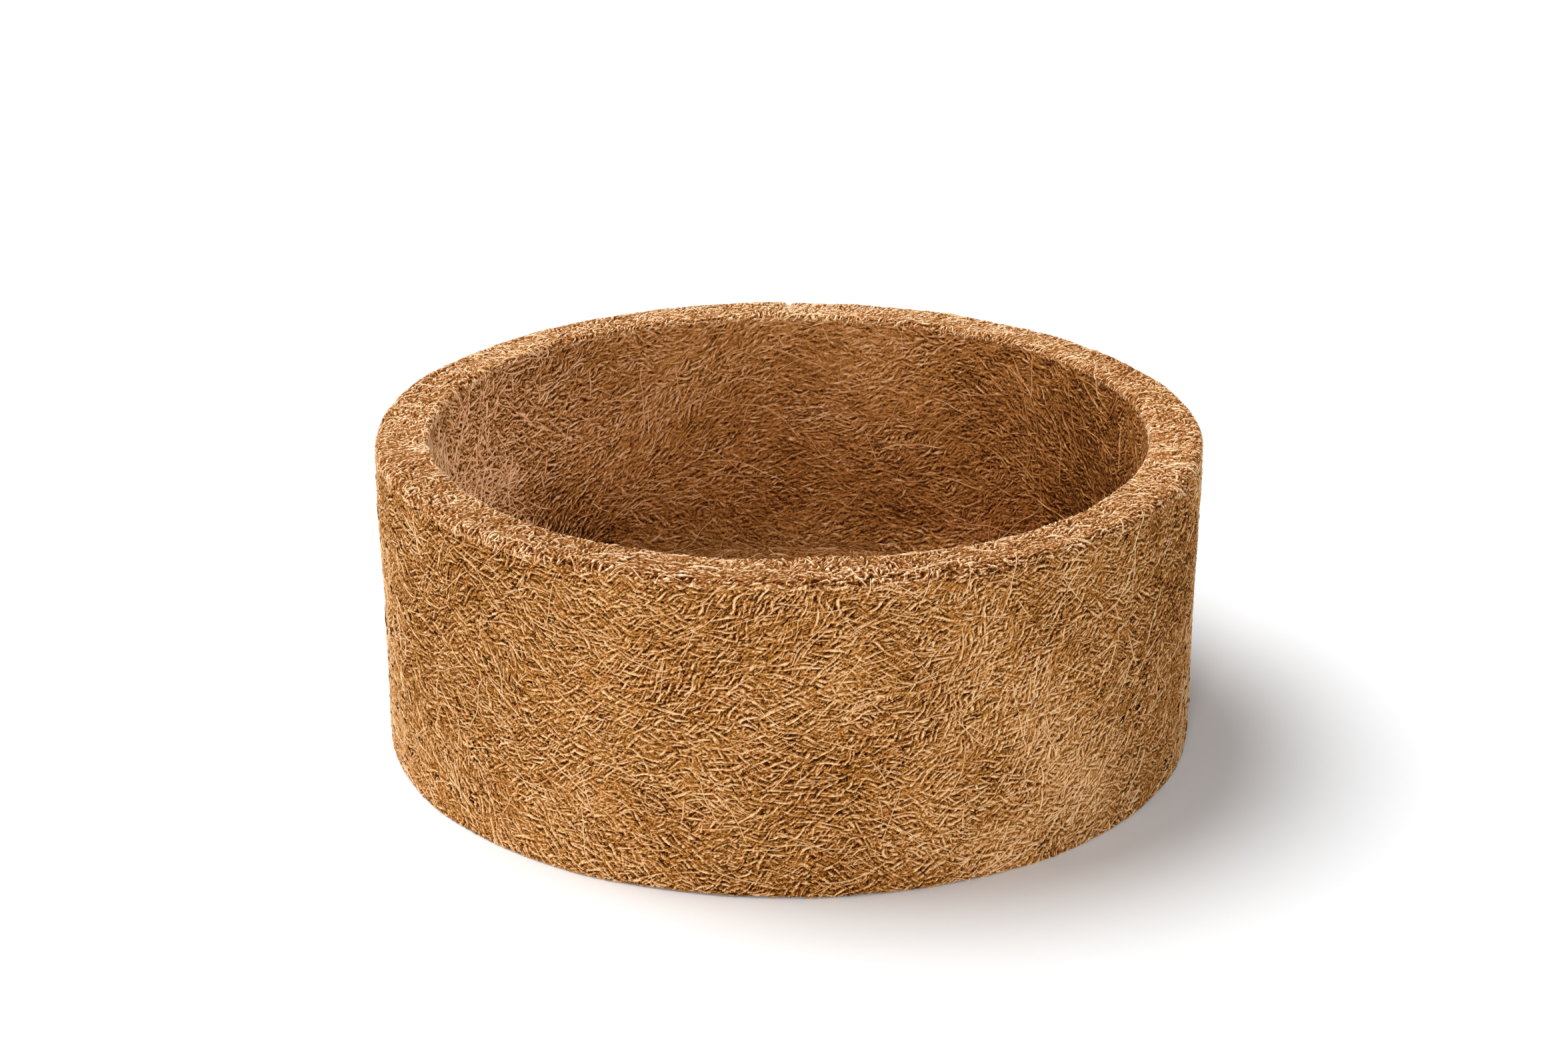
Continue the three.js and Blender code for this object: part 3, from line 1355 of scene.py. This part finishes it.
@dataclass(frozen=True)
class Nap:
    """The matting of felt: ridges one fibre wide that follow the lay, wind, and pass over each other."""

    grid: float = 0.17 * MM
    stroke: float = 2.6 * MM
    ridge: float = 0.065 * MM
    even: float = 0.38 * MM
    wind: float = 0.24
    winding: SmoothNoise = SmoothNoise(4.0 * MM, 91)
    crossing: float = 0.46
    over: SmoothNoise = SmoothNoise(1.8 * MM, 92)
    over_share: float = 0.4

    def ridges(self, heading: Array, places: Array, rng: np.random.Generator) -> Array:
        """How high the matting stands over a grid of places.

        Args:
            heading: The heading of the fibres at the places, where nought is along the rows.
            places: Points in space, in rows and columns a grid's step apart.
            rng: The source of chance.

        Returns:
            The heights, about nought and of unit spread.
        """
        heading = heading + self.wind * self.winding.at(places)
        turn = self.over_share * self.over.at(places)
        first = self._strokes(heading + self.crossing, rng) + turn
        second = self._strokes(heading - self.crossing, rng) - turn
        matted = np.maximum(first, second)
        matted -= self._blurred(matted, self.even)
        return matted / matted.std()

    def _strokes(self, heading: Array, rng: np.random.Generator) -> Array:
        """Draws noise out along the headings into strokes.

        Args:
            heading: The heading of the fibres over the grid.
            rng: The source of chance.

        Returns:
            The strokes, of unit spread.
        """
        rows, columns = heading.shape
        noise = self._blurred(rng.normal(size=heading.shape), self.ridge)
        drawn = noise.copy()
        for way in (1.0, -1.0):
            row, column = np.meshgrid(np.arange(float(rows)), np.arange(float(columns)), indexing="ij")
            near = (row.astype(int), column.astype(int))
            for _ in range(round(self.stroke / self.grid / 2)):
                row += way * np.sin(heading[near])
                column += way * np.cos(heading[near])
                near = (np.clip(np.rint(row), 0, rows - 1).astype(int), np.rint(column).astype(int) % columns)
                drawn += noise[near]
        return drawn / drawn.std()

    def _blurred(self, values: Array, reach: float) -> Array:
        """Mixes each value over the grid with those within about a reach.

        Args:
            values: The values, in rows and columns.
            reach: The reach.

        Returns:
            The mixed values.
        """
        rows, columns = values.shape
        pitch = np.hypot(np.fft.fftfreq(rows)[:, None], np.fft.rfftfreq(columns)[None])
        kept = np.exp(-2 * (math.pi * reach / self.grid * pitch) ** 2)
        return np.fft.irfft2(np.fft.rfft2(values) * kept, s=values.shape)


def tile_spots(faces: Array, rows: int, columns: int) -> Array:
    """Lays the faces of a tile out on its bake sheet, in as many strips as make its cells about square.

    Args:
        faces: The corner numbers of each face, where those past the grid are the back's.
        rows: How many rows of points the tile's front has.
        columns: How many columns it has.

    Returns:
        The place of every loop on the sheet.
    """
    margin = 0.03
    edge = margin / 4
    inside = 1 - 2 * margin
    strips = max(1, round(math.sqrt(columns / rows)))
    run = math.ceil((columns - 1) / strips)
    column = faces % columns
    row = faces // columns
    strip = np.minimum(column.min(axis=1, keepdims=True) // run, strips - 1)
    upper = row.min(axis=1, keepdims=True) == rows - 1
    behind = np.where(upper, 1 - edge, edge)
    up = np.where(row == rows, behind, margin + inside * row / (rows - 1))
    across = margin + inside * (column - strip * run) / run
    return np.stack([across, (strip + up) / strips], axis=-1).reshape(-1, 2)


@dataclass(frozen=True)
class FeltSkin(ABC):
    """The matted skin of one face of the felt, in closed tiles that are ridged in front and plain behind."""

    MOST_TRIANGLES = 180_000
    TUCK = 0.5 * MM
    RIDGE_MOST = 2.5

    name: str
    lay: Lay
    finish: FibreFinish
    slot: str
    seed: int
    tone: Span
    height: float = 0.1 * MM
    nap: Nap = Nap()

    @abstractmethod
    def build(self) -> None:
        """Makes the tiles."""

    def _raised(self, places: Array, outward: Array, ridges: Array) -> tuple[Array, Array]:
        """Points of the skin and their tones, painted paler on the ridges and darker between them as shade,
        with the first and last rows tucked in.

        Args:
            places: Points on the face.
            outward: The way out from each.
            ridges: How high the matting stands at each.

        Returns:
            The points and the tones.
        """
        ridges = ridges * self.lay.roughness_at(places)
        lift = RELIEF.at(places) + self.height * np.clip(ridges, -self.RIDGE_MOST, self.RIDGE_MOST)
        lift[0] -= self.TUCK
        lift[-1] -= self.TUCK
        front = places + outward * lift[..., None]
        lift_to_ground(front)
        base, contrast = self.tone
        # Painted shade: the tone follows the ridges, paler on the crests and darker in the hollows
        return front, base + contrast * ridges + self.lay.tone_at(places)

    def _tile(self, name: str, front: Array, back: Array, tones: Array, material: bpy.types.Material) -> None:
        """Makes one closed tile.

        Args:
            name: The tile's name.
            front: Points of its front, in rows and columns.
            back: One point behind each column.
            tones: The tones of the front's points.
            material: The finish.
        """
        rows, columns = front.shape[:2]
        grid = np.arange(rows * columns).reshape(rows, columns)
        spine = rows * columns + np.arange(columns)
        faces = [
            np.stack([grid[:-1, :-1], grid[:-1, 1:], grid[1:, 1:], grid[1:, :-1]], axis=-1).reshape(-1, 4),
            np.stack([grid[0, 1:], grid[0, :-1], spine[:-1], spine[1:]], axis=-1),
            np.stack([grid[-1, :-1], grid[-1, 1:], spine[1:], spine[:-1]], axis=-1),
            np.stack([grid[:-1, 0], grid[1:, 0], np.full(rows - 1, spine[0])], axis=-1),
            np.stack([grid[1:, -1], grid[:-1, -1], np.full(rows - 1, spine[-1])], axis=-1),
        ]
        spots = [tile_spots(part, rows, columns) for part in faces]
        loops = np.concatenate([part.ravel() for part in faces])
        sizes = np.concatenate([np.full(len(part), part.shape[1]) for part in faces])
        corners = np.concatenate([front.reshape(-1, 3), back])
        mesh = mesh_of(name, corners, loops, sizes, np.concatenate(spots))
        store_tones(mesh, np.concatenate([tones.ravel(), np.zeros(columns)]))
        piece_of(mesh, material, self.slot)


@dataclass(frozen=True, kw_only=True)
class WallSkin(FeltSkin):
    """The skin of a band of the wall, with a core that the backs of its tiles run along, inside the felt.

    The core is a ring, by its radius and its height.
    """

    face: WallFace
    core: Span

    def build(self) -> None:
        """Makes the tiles, side by side round the pot."""
        rng = np.random.default_rng(self.seed)
        face = self.face
        radius = face.outline.at(np.array((face.start + face.end) / 2))[0][0]
        columns = round(FULL_TURN * radius / self.nap.grid)
        rows = round((face.end - face.start) / self.nap.grid) + 1
        angles = np.linspace(0.0, FULL_TURN, columns, endpoint=False)
        marks, turns = np.meshgrid(np.linspace(face.start, face.end, rows), angles, indexing="ij")
        places, outward = face.place(turns, marks)
        ridges = self.nap.ridges(self.lay.heading_at(face, turns, marks), places, rng)
        front, tones = self._raised(places, outward, ridges)
        level = np.full(columns, self.core[1])
        back = np.stack([self.core[0] * np.cos(angles), self.core[0] * np.sin(angles), level], axis=-1)
        material = self.finish.material()
        tiles = math.ceil(2 * rows * columns / self.MOST_TRIANGLES)
        edges = np.linspace(0, columns, tiles + 1).astype(int)
        for number, (start, end) in enumerate(zip(edges[:-1], edges[1:]), start=1):
            own = np.arange(start, end + 1) % columns
            self._tile(f"{self.name}_{number}", front[:, own], back[own], tones[:, own], material)


@dataclass(frozen=True, kw_only=True)
class DiscSkin(FeltSkin):
    """The skin of a flat round face, in one tile whose square grid is drawn out to the disc."""

    face: DiscFace
    thickness: float = 2 * MM
    cells: int = 296

    def build(self) -> None:
        """Makes the tile."""
        rng = np.random.default_rng(self.seed)
        face = self.face
        count = round(2 * face.radius / self.nap.grid)
        line = np.linspace(-face.radius, face.radius, count)
        second, first = np.meshgrid(line, line, indexing="ij")
        places = face.place(first, second)[0]
        sheet = self.nap.ridges(self.lay.heading_at(face, first, second), places, rng)
        unit = np.linspace(-1.0, 1.0, self.cells)
        up, across = np.meshgrid(unit, unit, indexing="ij")
        first = face.radius * across * np.sqrt(1 - up**2 / 2)
        second = face.radius * up * np.sqrt(1 - across**2 / 2) * face.upward
        near = [np.rint((side / face.radius + 1) / 2 * (count - 1)).astype(int) for side in (second, first)]
        places, outward = face.place(first, second)
        front, tones = self._raised(places, outward, sheet[near[0], near[1]])
        back = (places[0] + places[-1]) / 2 - outward[0] * self.thickness
        self._tile(f"{self.name}_1", front, back, tones, self.finish.material())


# The pot


HUSK_FLECKS = Layer(
    count=0, length=mm(1.6, 4), thickness=mm(0.6, 1.1), curl=60.0, lift=mm(-0.3, -0.14),
    weave=0.04 * MM, weave_length=6 * MM, spread=0.6, tone=(0.2, 0.05), points=8, contrast=0.3,
)
FLAT_FIBRES = Layer(
    count=900, length=mm(5, 11), thickness=mm(0.36, 0.5), curl=190.0, lift=mm(-0.16, 0.08),
    weave=0.12 * MM, weave_length=5 * MM, spread=0.7, tone=(0.46, 0.14),
)


@dataclass(frozen=True)
class FeltPart(ABC):
    """A part of the pot's felt: a body in place of a frame node, a matted skin and loose fibres on it."""

    SHOWN_PACE = 0.9 * MM
    HIDDEN_PACE = 3.6 * MM
    OVERLAP = 0.5 * MM
    HUB = 0.5 * MM

    size: PotSection
    bands: Bands

    def build_body(self) -> None:
        """Makes the felt body, where the part has one of its own."""

    @abstractmethod
    def build_skin(self) -> None:
        """Covers the part with its matted skin."""

    @abstractmethod
    def lay_fibres(self) -> None:
        """Lays loose fibres over the part."""

    def _shown(self, *corners: Corner) -> Outline:
        """A stretch of a body's section that shows."""
        return Outline(corners, self.SHOWN_PACE)

    def _hidden(self, *corners: Corner) -> Outline:
        """A stretch of a body's section inside the felt."""
        return Outline(corners, self.HIDDEN_PACE)

    @staticmethod
    def _body(turning: Turning, finish: FeltFinish, slot: str, node: str) -> None:
        """Makes a felt body and puts it in place of a frame node."""
        piece = piece_of(turning.mesh(), finish.material(), slot)
        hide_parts(node)


@dataclass(frozen=True)
class OuterWall(FeltPart):
    """The outer strip: matted fibres, pale ones, a few long stray ones, near-black strokes of painted shade
    in the gaps, and husk flecks.
    """

    core_depth: float = 3 * MM
    spill: float = 2.5 * MM
    tone: Span = (0.395, 0.44)
    matted: Layer = Layer(
        count=1100, length=mm(4, 9), thickness=mm(0.2, 0.3), curl=200.0, lift=mm(-0.1, 0.04),
        weave=0.14 * MM, weave_length=3.2 * MM, spread=0.5, tone=(0.52, 0.2), points=12, contrast=0.6,
    )
    pale: Layer = Layer(
        count=600, length=mm(4, 13), thickness=mm(0.22, 0.3), curl=80.0, lift=mm(0, 0.1),
        weave=0.1 * MM, weave_length=5 * MM, spread=0.7, tone=(0.92, 0.1), points=14, contrast=0.4,
    )
    stray: Layer = Layer(
        count=24, length=mm(8, 16), thickness=mm(0.26, 0.36), curl=70.0, lift=mm(0.1, 0.2),
        weave=0.16 * MM, weave_length=7 * MM, spread=0.8, tone=(0.62, 0.12), points=20,
    )
    # Painted shade: near-black short strokes that stand for the shade in the gaps between fibres
    gaps: Layer = Layer(
        count=1500, length=mm(1.2, 3.6), thickness=mm(0.26, 0.4), curl=160.0, lift=mm(0, 0.06),
        weave=0.06 * MM, weave_length=4 * MM, spread=0.5, tone=(0.02, 0.04), points=7, contrast=0.1,
    )
    flecks: Layer = replace(HUSK_FLECKS, count=110)

    def build_body(self) -> None:
        """Makes the strip's body: under the foot, up the outside, over the rim and back along the bond."""
        size = self.size
        under = Corner(size.foot_radius - size.foot_width, 0.0)
        top = Corner(size.bond_radius, size.height)
        lip = size.height - size.bond_lip
        shown = self._shown(
            under,
            Corner(size.foot_radius, 0.0, size.foot_round),
            Corner(size.rim_radius, size.height, size.rim_outer_round),
            top,
        )
        hidden = self._hidden(
            top, Corner(size.bond_radius, lip), Corner(size.film_outside + size.bond_gap, lip), under
        )
        body = Turning("outer_wall_felt", [shown, hidden], shown=0)
        self._body(body, OUTER_FELT, "outer_felt", "outer_wall_mat")

    def build_skin(self) -> None:
        """Covers the outside, from under the foot up to the rim."""
        size, bands = self.size, self.bands
        WallSkin(
            "outer_wall_skin", OUTER_LAY, OUTER_SKIN, "outer_felt", seed=11, tone=self.tone,
            face=WallFace(bands.walk, bands.under_foot, bands.shoulder + self.OVERLAP),
            core=(size.foot_radius - self.core_depth, size.height / 2),
        ).build()

    def lay_fibres(self) -> None:
        """Lays loose fibres over the outside."""
        face = WallFace(self.bands.walk, self.bands.foot, self.bands.shoulder, spill=self.spill)
        layers = [self.matted, self.pale, self.stray, self.gaps, self.flecks]
        FibreBed("outer_wall_fibres", face, OUTER_LAY, layers, OUTER_FIBRE, "outer_felt", seed=1).build()


@dataclass(frozen=True)
class Rim(FeltPart):
    """The flat rim, where both wall strips end: short fibres and a few pale ones."""

    core_depth: float = 3 * MM
    spill: float = 1.2 * MM
    tone: Span = (0.275, 0.46)
    nap: Nap = Nap(stroke=1.3 * MM, ridge=0.07 * MM, even=0.4 * MM, wind=0.3, crossing=0.4)
    matted: Layer = Layer(
        count=500, length=mm(2, 5), thickness=mm(0.22, 0.34), curl=280.0, lift=mm(-0.14, 0.06),
        weave=0.12 * MM, weave_length=4 * MM, spread=0.5, tone=(0.36, 0.24), points=6,
    )
    pale: Layer = Layer(
        count=120, length=mm(3, 7), thickness=mm(0.24, 0.34), curl=150.0, lift=mm(0, 0.1),
        weave=0.14 * MM, weave_length=5 * MM, spread=0.5, tone=(0.72, 0.2), points=9,
    )

    def build_skin(self) -> None:
        """Covers the rim and a little of the wall on both sides of it."""
        size, bands = self.size, self.bands
        WallSkin(
            "rim_skin", RIM_LAY, RIM_SKIN, "outer_felt", seed=12, tone=self.tone, nap=self.nap,
            face=WallFace(bands.walk, bands.shoulder - self.OVERLAP, bands.lip + self.OVERLAP),
            core=(size.bond_radius, size.height - self.core_depth),
        ).build()

    def lay_fibres(self) -> None:
        """Lays loose fibres over the rim."""
        face = WallFace(self.bands.walk, self.bands.shoulder, self.bands.lip, spill=self.spill)
        layers = [self.matted, self.pale]
        FibreBed("rim_fibres", face, RIM_LAY, layers, RIM_FIBRE, "outer_felt", seed=2).build()


@dataclass(frozen=True)
class InnerWall(FeltPart):
    """The inner strip: matted fibres, long ones and husk flecks, with coarser, paler ones on the left."""

    core_depth: float = 2 * MM
    core_drop: float = 1 * MM
    skin_height: float = 0.06 * MM
    tone: Span = (0.425, 0.25)
    nap: Nap = Nap(grid=0.18 * MM, stroke=1.7 * MM, ridge=0.075 * MM, even=0.46 * MM, crossing=0.3)
    matted: Layer = Layer(
        count=900, length=mm(4, 12), thickness=mm(0.3, 0.42), curl=180.0, lift=mm(-0.12, 0.02),
        weave=0.1 * MM, weave_length=5 * MM, spread=0.7, tone=(0.54, 0.12), points=14, contrast=0.45,
    )
    long: Layer = Layer(
        count=160, length=mm(10, 26), thickness=mm(0.3, 0.4), curl=120.0, lift=mm(-0.06, 0.06),
        weave=0.1 * MM, weave_length=8 * MM, spread=0.6, tone=(0.7, 0.1), points=28, contrast=0.4,
    )
    flecks: Layer = replace(HUSK_FLECKS, count=70)
    left_arc: Span = (math.radians(150), math.radians(205))
    left_fade: float = math.radians(14)
    left_matted: Layer = Layer(
        count=700, length=mm(3, 9), thickness=mm(0.34, 0.48), curl=180.0, lift=mm(-0.1, 0.04),
        weave=0.14 * MM, weave_length=4 * MM, spread=0.8, tone=(0.84, 0.16), points=12, contrast=0.9,
    )
    left_long: Layer = Layer(
        count=50, length=mm(8, 18), thickness=mm(0.34, 0.44), curl=110.0, lift=mm(-0.02, 0.06),
        weave=0.1 * MM, weave_length=9 * MM, spread=0.6, tone=(0.68, 0.1), points=24, contrast=0.5,
    )

    def build_body(self) -> None:
        """Makes the strip's body: over the rim, down the inside to the base and back along the bond."""
        size = self.size
        top = Corner(size.bond_radius, size.height)
        foot = Corner(size.inside_radius, size.inner_foot)
        lip = size.height - size.bond_lip
        behind = size.film_inside - size.bond_gap
        shown = self._shown(top, Corner(size.inside_radius, size.height, size.rim_inner_round), foot)
        hidden = self._hidden(
            foot, Corner(behind, size.inner_foot), Corner(behind, lip), Corner(size.bond_radius, lip), top
        )
        body = Turning("inner_wall_felt", [shown, hidden], shown=0)
        self._body(body, INNER_FELT, "inner_felt", "inner_wall_mat")

    def build_skin(self) -> None:
        """Covers the inside, from the rim down past the cove."""
        size, bands = self.size, self.bands
        WallSkin(
            "inner_wall_skin", INNER_LAY, INNER_SKIN, "inner_felt", seed=13, tone=self.tone,
            nap=self.nap, height=self.skin_height,
            face=WallFace(bands.walk, bands.lip - self.OVERLAP, bands.corner),
            core=(size.inside_radius + self.core_depth, size.floor - self.core_drop),
        ).build()

    def lay_fibres(self) -> None:
        """Lays loose fibres over the inside, then the coarser ones on its left."""
        face = WallFace(self.bands.walk, self.bands.lip, self.bands.corner)
        layers = [self.matted, self.long, self.flecks]
        FibreBed("inner_wall_fibres", face, INNER_LAY, layers, INNER_FIBRE, "inner_felt", seed=3).build()
        left = replace(face, arc=self.left_arc, fade=self.left_fade)
        layers = [self.left_matted, self.left_long]
        FibreBed(
            "inner_left_fibres", left, INNER_LEFT_LAY, layers, INNER_LEFT_FIBRE, "inner_felt", seed=8
        ).build()


@dataclass(frozen=True)
class Floor(FeltPart):
    """The upper disc, which is the floor of the pot, with a cove up to the wall."""

    edge_reach: float = 0.3 * MM
    # The low tone is painted shade: the floor is darker than the walls, as though in their shade
    tone: Span = (0.26, 0.26)

    @property
    def face(self) -> DiscFace:
        """The flat of the floor, inside the cove."""
        return DiscFace(self.size.inside_radius - self.size.cove, self.size.floor, 1.0)

    def build_body(self) -> None:
        """Makes the disc's body: out along the bond, up to the top of the cove and in over the floor."""
        size = self.size
        edge = size.inside_radius + self.edge_reach
        cove_top = Corner(edge, size.floor + size.cove)
        hidden = self._hidden(Corner(self.HUB, size.inner_foot), Corner(edge, size.inner_foot), cove_top)
        shown = self._shown(cove_top, Corner(edge, size.floor, size.cove), Corner(self.HUB, size.floor))
        body = Turning("floor_felt", [hidden, shown], shown=1)
        self._body(body, INNER_FELT, "inner_felt", "upper_base_mat")

    def build_skin(self) -> None:
        """Covers the floor."""
        skin = DiscSkin(
            "floor_skin", FLOOR_LAY, INNER_SKIN, "inner_felt", seed=14, tone=self.tone, face=self.face
        )
        skin.build()

    def lay_fibres(self) -> None:
        """Lays loose fibres over the floor."""
        layers = [FLAT_FIBRES]
        FibreBed("floor_fibres", self.face, FLOOR_LAY, layers, INNER_FIBRE, "inner_felt", seed=4).build()


@dataclass(frozen=True)
class Sole(FeltPart):
    """The lower disc, on the ground inside the outer strip."""

    body_height: float = 0.5 * MM
    skin_height: float = 0.35 * MM
    fibre_height: float = 0.45 * MM
    tone: Span = (0.36, 0.3)

    def build_body(self) -> None:
        """Makes the disc's body: out along the underside, up and back in along the bond."""
        size = self.size
        edge = Corner(size.disc_radius, self.body_height)
        shown = self._shown(Corner(self.HUB, self.body_height), edge)
        hidden = self._hidden(edge, Corner(size.disc_radius, size.disc_top), Corner(self.HUB, size.disc_top))
        body = Turning("sole_felt", [shown, hidden], shown=0)
        self._body(body, BASE_FELT, "base_felt", "lower_base_mat")

    def build_skin(self) -> None:
        """Covers the underside."""
        face = DiscFace(self.size.foot_radius - 2 * self.size.foot_round, self.skin_height, -1.0)
        DiscSkin("sole_skin", SOLE_LAY, BASE_SKIN, "base_felt", seed=15, tone=self.tone, face=face).build()

    def lay_fibres(self) -> None:
        """Lays loose fibres over the underside."""
        face = DiscFace(self.size.foot_radius - self.size.foot_round, self.fibre_height, -1.0)
        FibreBed("sole_fibres", face, SOLE_LAY, [FLAT_FIBRES], BASE_FIBRE, "base_felt", seed=5).build()


@dataclass(frozen=True)
class Bonds:
    """The latex bonds between the mats, which keep the shapes that they have in the frame."""

    finish: LatexFinish = LATEX
    word: str = "latex"

    def dress(self) -> None:
        """Gives the bonds their finish."""
        material = self.finish.material()
        for name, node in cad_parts.items():
            if self.word in name:
                node.data.materials.clear()
                node.data.materials.append(material)
                LOG.info("%s: latex", name)


class Pot:
    """The pot: its felt parts, from the outside in, and the latex bonds between them."""

    def __init__(self) -> None:
        """Takes the pot's sizes from the frame."""
        size = PotSection.from_frame()
        bands = Bands(size)
        self.parts = [kind(size, bands) for kind in (OuterWall, Rim, InnerWall, Floor, Sole)]

    def build(self) -> None:
        """Makes the bodies, covers them with their skins, lays the loose fibres and dresses the bonds."""
        for part in self.parts:
            part.build_body()
        for part in self.parts:
            part.build_skin()
        for part in self.parts:
            part.lay_fibres()
        Bonds().dress()


# The studio


POT_MIDDLE = Vector((0.0, 0.0, 0.03))


@dataclass(frozen=True)
class Lamp(ABC):
    """A lamp by its name and the direction that its light comes from."""

    name: str
    source: tuple[float, float, float]

    @abstractmethod
    def light(self) -> bpy.types.Light:
        """Makes the light itself.

        Returns:
            The light.
        """

    def target(self) -> Vector:
        """What the lamp is aimed at: the middle of the pot."""
        return POT_MIDDLE

    def build(self) -> None:
        """Hangs the lamp and aims it."""
        hung = bpy.data.objects.new(self.name, self.light())
        hung.location = self.source
        hung.rotation_euler = (self.target() - Vector(self.source)).to_track_quat("-Z", "Y").to_euler()
        bpy.context.scene.collection.objects.link(hung)


@dataclass(frozen=True)
class SpotLamp(Lamp):
    """A soft lamp with a narrow cone, by what it is aimed at, its cone, its width and its power."""

    aim: tuple[float, float, float]
    cone: float
    width: float
    watts: float

    def target(self) -> Vector:
        """What the lamp is aimed at."""
        return Vector(self.aim)

    def light(self) -> bpy.types.Light:
        """Makes the light of the lamp, which fades out towards the edge of its cone.

        Returns:
            The light.
        """
        made = bpy.data.lights.new(self.name, "SPOT")
        made.energy = self.watts
        made.spot_size = self.cone
        made.spot_blend = 1.0
        made.shadow_soft_size = self.width / 2
        return made


@dataclass(frozen=True)
class FarLamp(Lamp):
    """A large far lamp, by how wide it looks and how strongly it lights a face turned to it."""

    spread: float
    strength: float

    def light(self) -> bpy.types.Light:
        """Makes the light of the lamp.

        Returns:
            The light.
        """
        made = bpy.data.lights.new(self.name, "SUN")
        made.angle = self.spread
        made.energy = self.strength
        return made


@dataclass(frozen=True)
class Studio:
    """A pale floor, soft light and a camera at the photograph's viewing angle."""

    photo_width_px: int = 2352
    focal_px: float = 5026.0
    sensor_mm: float = 36.0
    camera_place: tuple[float, float, float] = (-0.000975, -0.5766, 0.2636)
    camera_pitch: float = math.radians(21.29)
    floor_half: float = 4.0
    floor_colour: Colour = (0.8, 0.8, 0.8)
    floor_white: Colour = (0.88, 0.89, 0.9)
    ambient: float = 0.1
    floor_drop: float = 0.05 * MM
    nearest_seen: float = 0.01
    lamps: Sequence[Lamp] = (
        FarLamp("key_lamp", (-0.4, 0.17, 0.9), math.radians(38), 2.95),
        FarLamp("front_lamp", (-0.08, -0.89, 0.44), math.radians(24), 1.4),
        FarLamp("left_lamp", (-0.62, -0.78, 0.12), math.radians(20), 0.83),
        FarLamp("right_lamp", (0.75, -0.1, 0.65), math.radians(30), 0.45),
        SpotLamp("inside_lamp", (0.34, -0.02, 0.2), (-0.066, 0.014, 0.038), math.radians(14), 0.06, 3.3),
    )

    def build(self) -> None:
        """Sets up the floor, the world, the lamps and the camera."""
        self._floor()
        self._world()
        for lamp in self.lamps:
            lamp.build()
        self._camera()
        bpy.context.scene.view_settings.view_transform = "Standard"

    def _floor(self) -> None:
        """A wide level floor that looks white where the pot doesn't shade it."""
        half = self.floor_half
        depth = -self.floor_drop
        corners = [(-half, -half, depth), (half, -half, depth), (half, half, depth), (-half, half, depth)]
        mesh = bpy.data.meshes.new("floor")
        mesh.from_pydata(corners, [], [(0, 1, 2, 3)])
        made = bpy.data.objects.new("floor", mesh)
        bpy.context.scene.collection.objects.link(made)
        material, graph = new_material("floor_paper")
        colour = graph.node(
            "ShaderNodeMix",
            {"data_type": "RGBA"},
            {"Factor": self._seen(graph), "A": (*self.floor_colour, 1.0), "B": (*self.floor_white, 1.0)},
        )
        paper = graph.node("ShaderNodeBsdfDiffuse", {}, {"Color": colour.outputs["Result"]})
        graph.node("ShaderNodeOutputMaterial", {}, {"Surface": paper.outputs[0]})
        mesh.materials.append(material)

    def _world(self) -> None:
        """Even pale light from all round, plain white where the camera sees it."""
        world = bpy.data.worlds.new("studio")
        bpy.context.scene.world = world
        world.use_nodes = True
        graph = Graph(world.node_tree)
        seen = self._seen(graph)
        light = graph.node("ShaderNodeBackground", {}, {"Strength": self.ambient + seen * (1 - self.ambient)})
        graph.node("ShaderNodeOutputWorld", {}, {"Surface": light.outputs[0]})

    @staticmethod
    def _seen(graph: Graph) -> Level:
        """Tells where the camera looks, straight or by a reflection.

        Args:
            graph: The graph of the floor or of the world.

        Returns:
            One there, and nought elsewhere.
        """
        path = graph.node("ShaderNodeLightPath", {}, {})
        rays = ("Is Camera Ray", "Is Glossy Ray", "Is Transmission Ray")
        camera, glossy, through = [Level(graph, path.outputs[ray]) for ray in rays]
        return graph.larger(camera, graph.larger(glossy, through))

    def _camera(self) -> None:
        """A camera where the photograph was taken from."""
        data = bpy.data.cameras.new("camera")
        data.sensor_width = self.sensor_mm
        data.lens = self.sensor_mm * self.focal_px / self.photo_width_px
        data.clip_start = self.nearest_seen
        camera = bpy.data.objects.new("camera", data)
        camera.location = self.camera_place
        camera.rotation_euler = (math.pi / 2 - self.camera_pitch, 0.0, 0.0)
        bpy.context.scene.collection.objects.link(camera)
        bpy.context.scene.camera = camera


def main() -> None:
    """Builds the studio and the pot, and logs how many faces each piece has."""
    logging.basicConfig(level=logging.INFO, format="%(name)s: %(message)s")
    Studio().build()
    Pot().build()


if __name__ == "__main__":
    main()
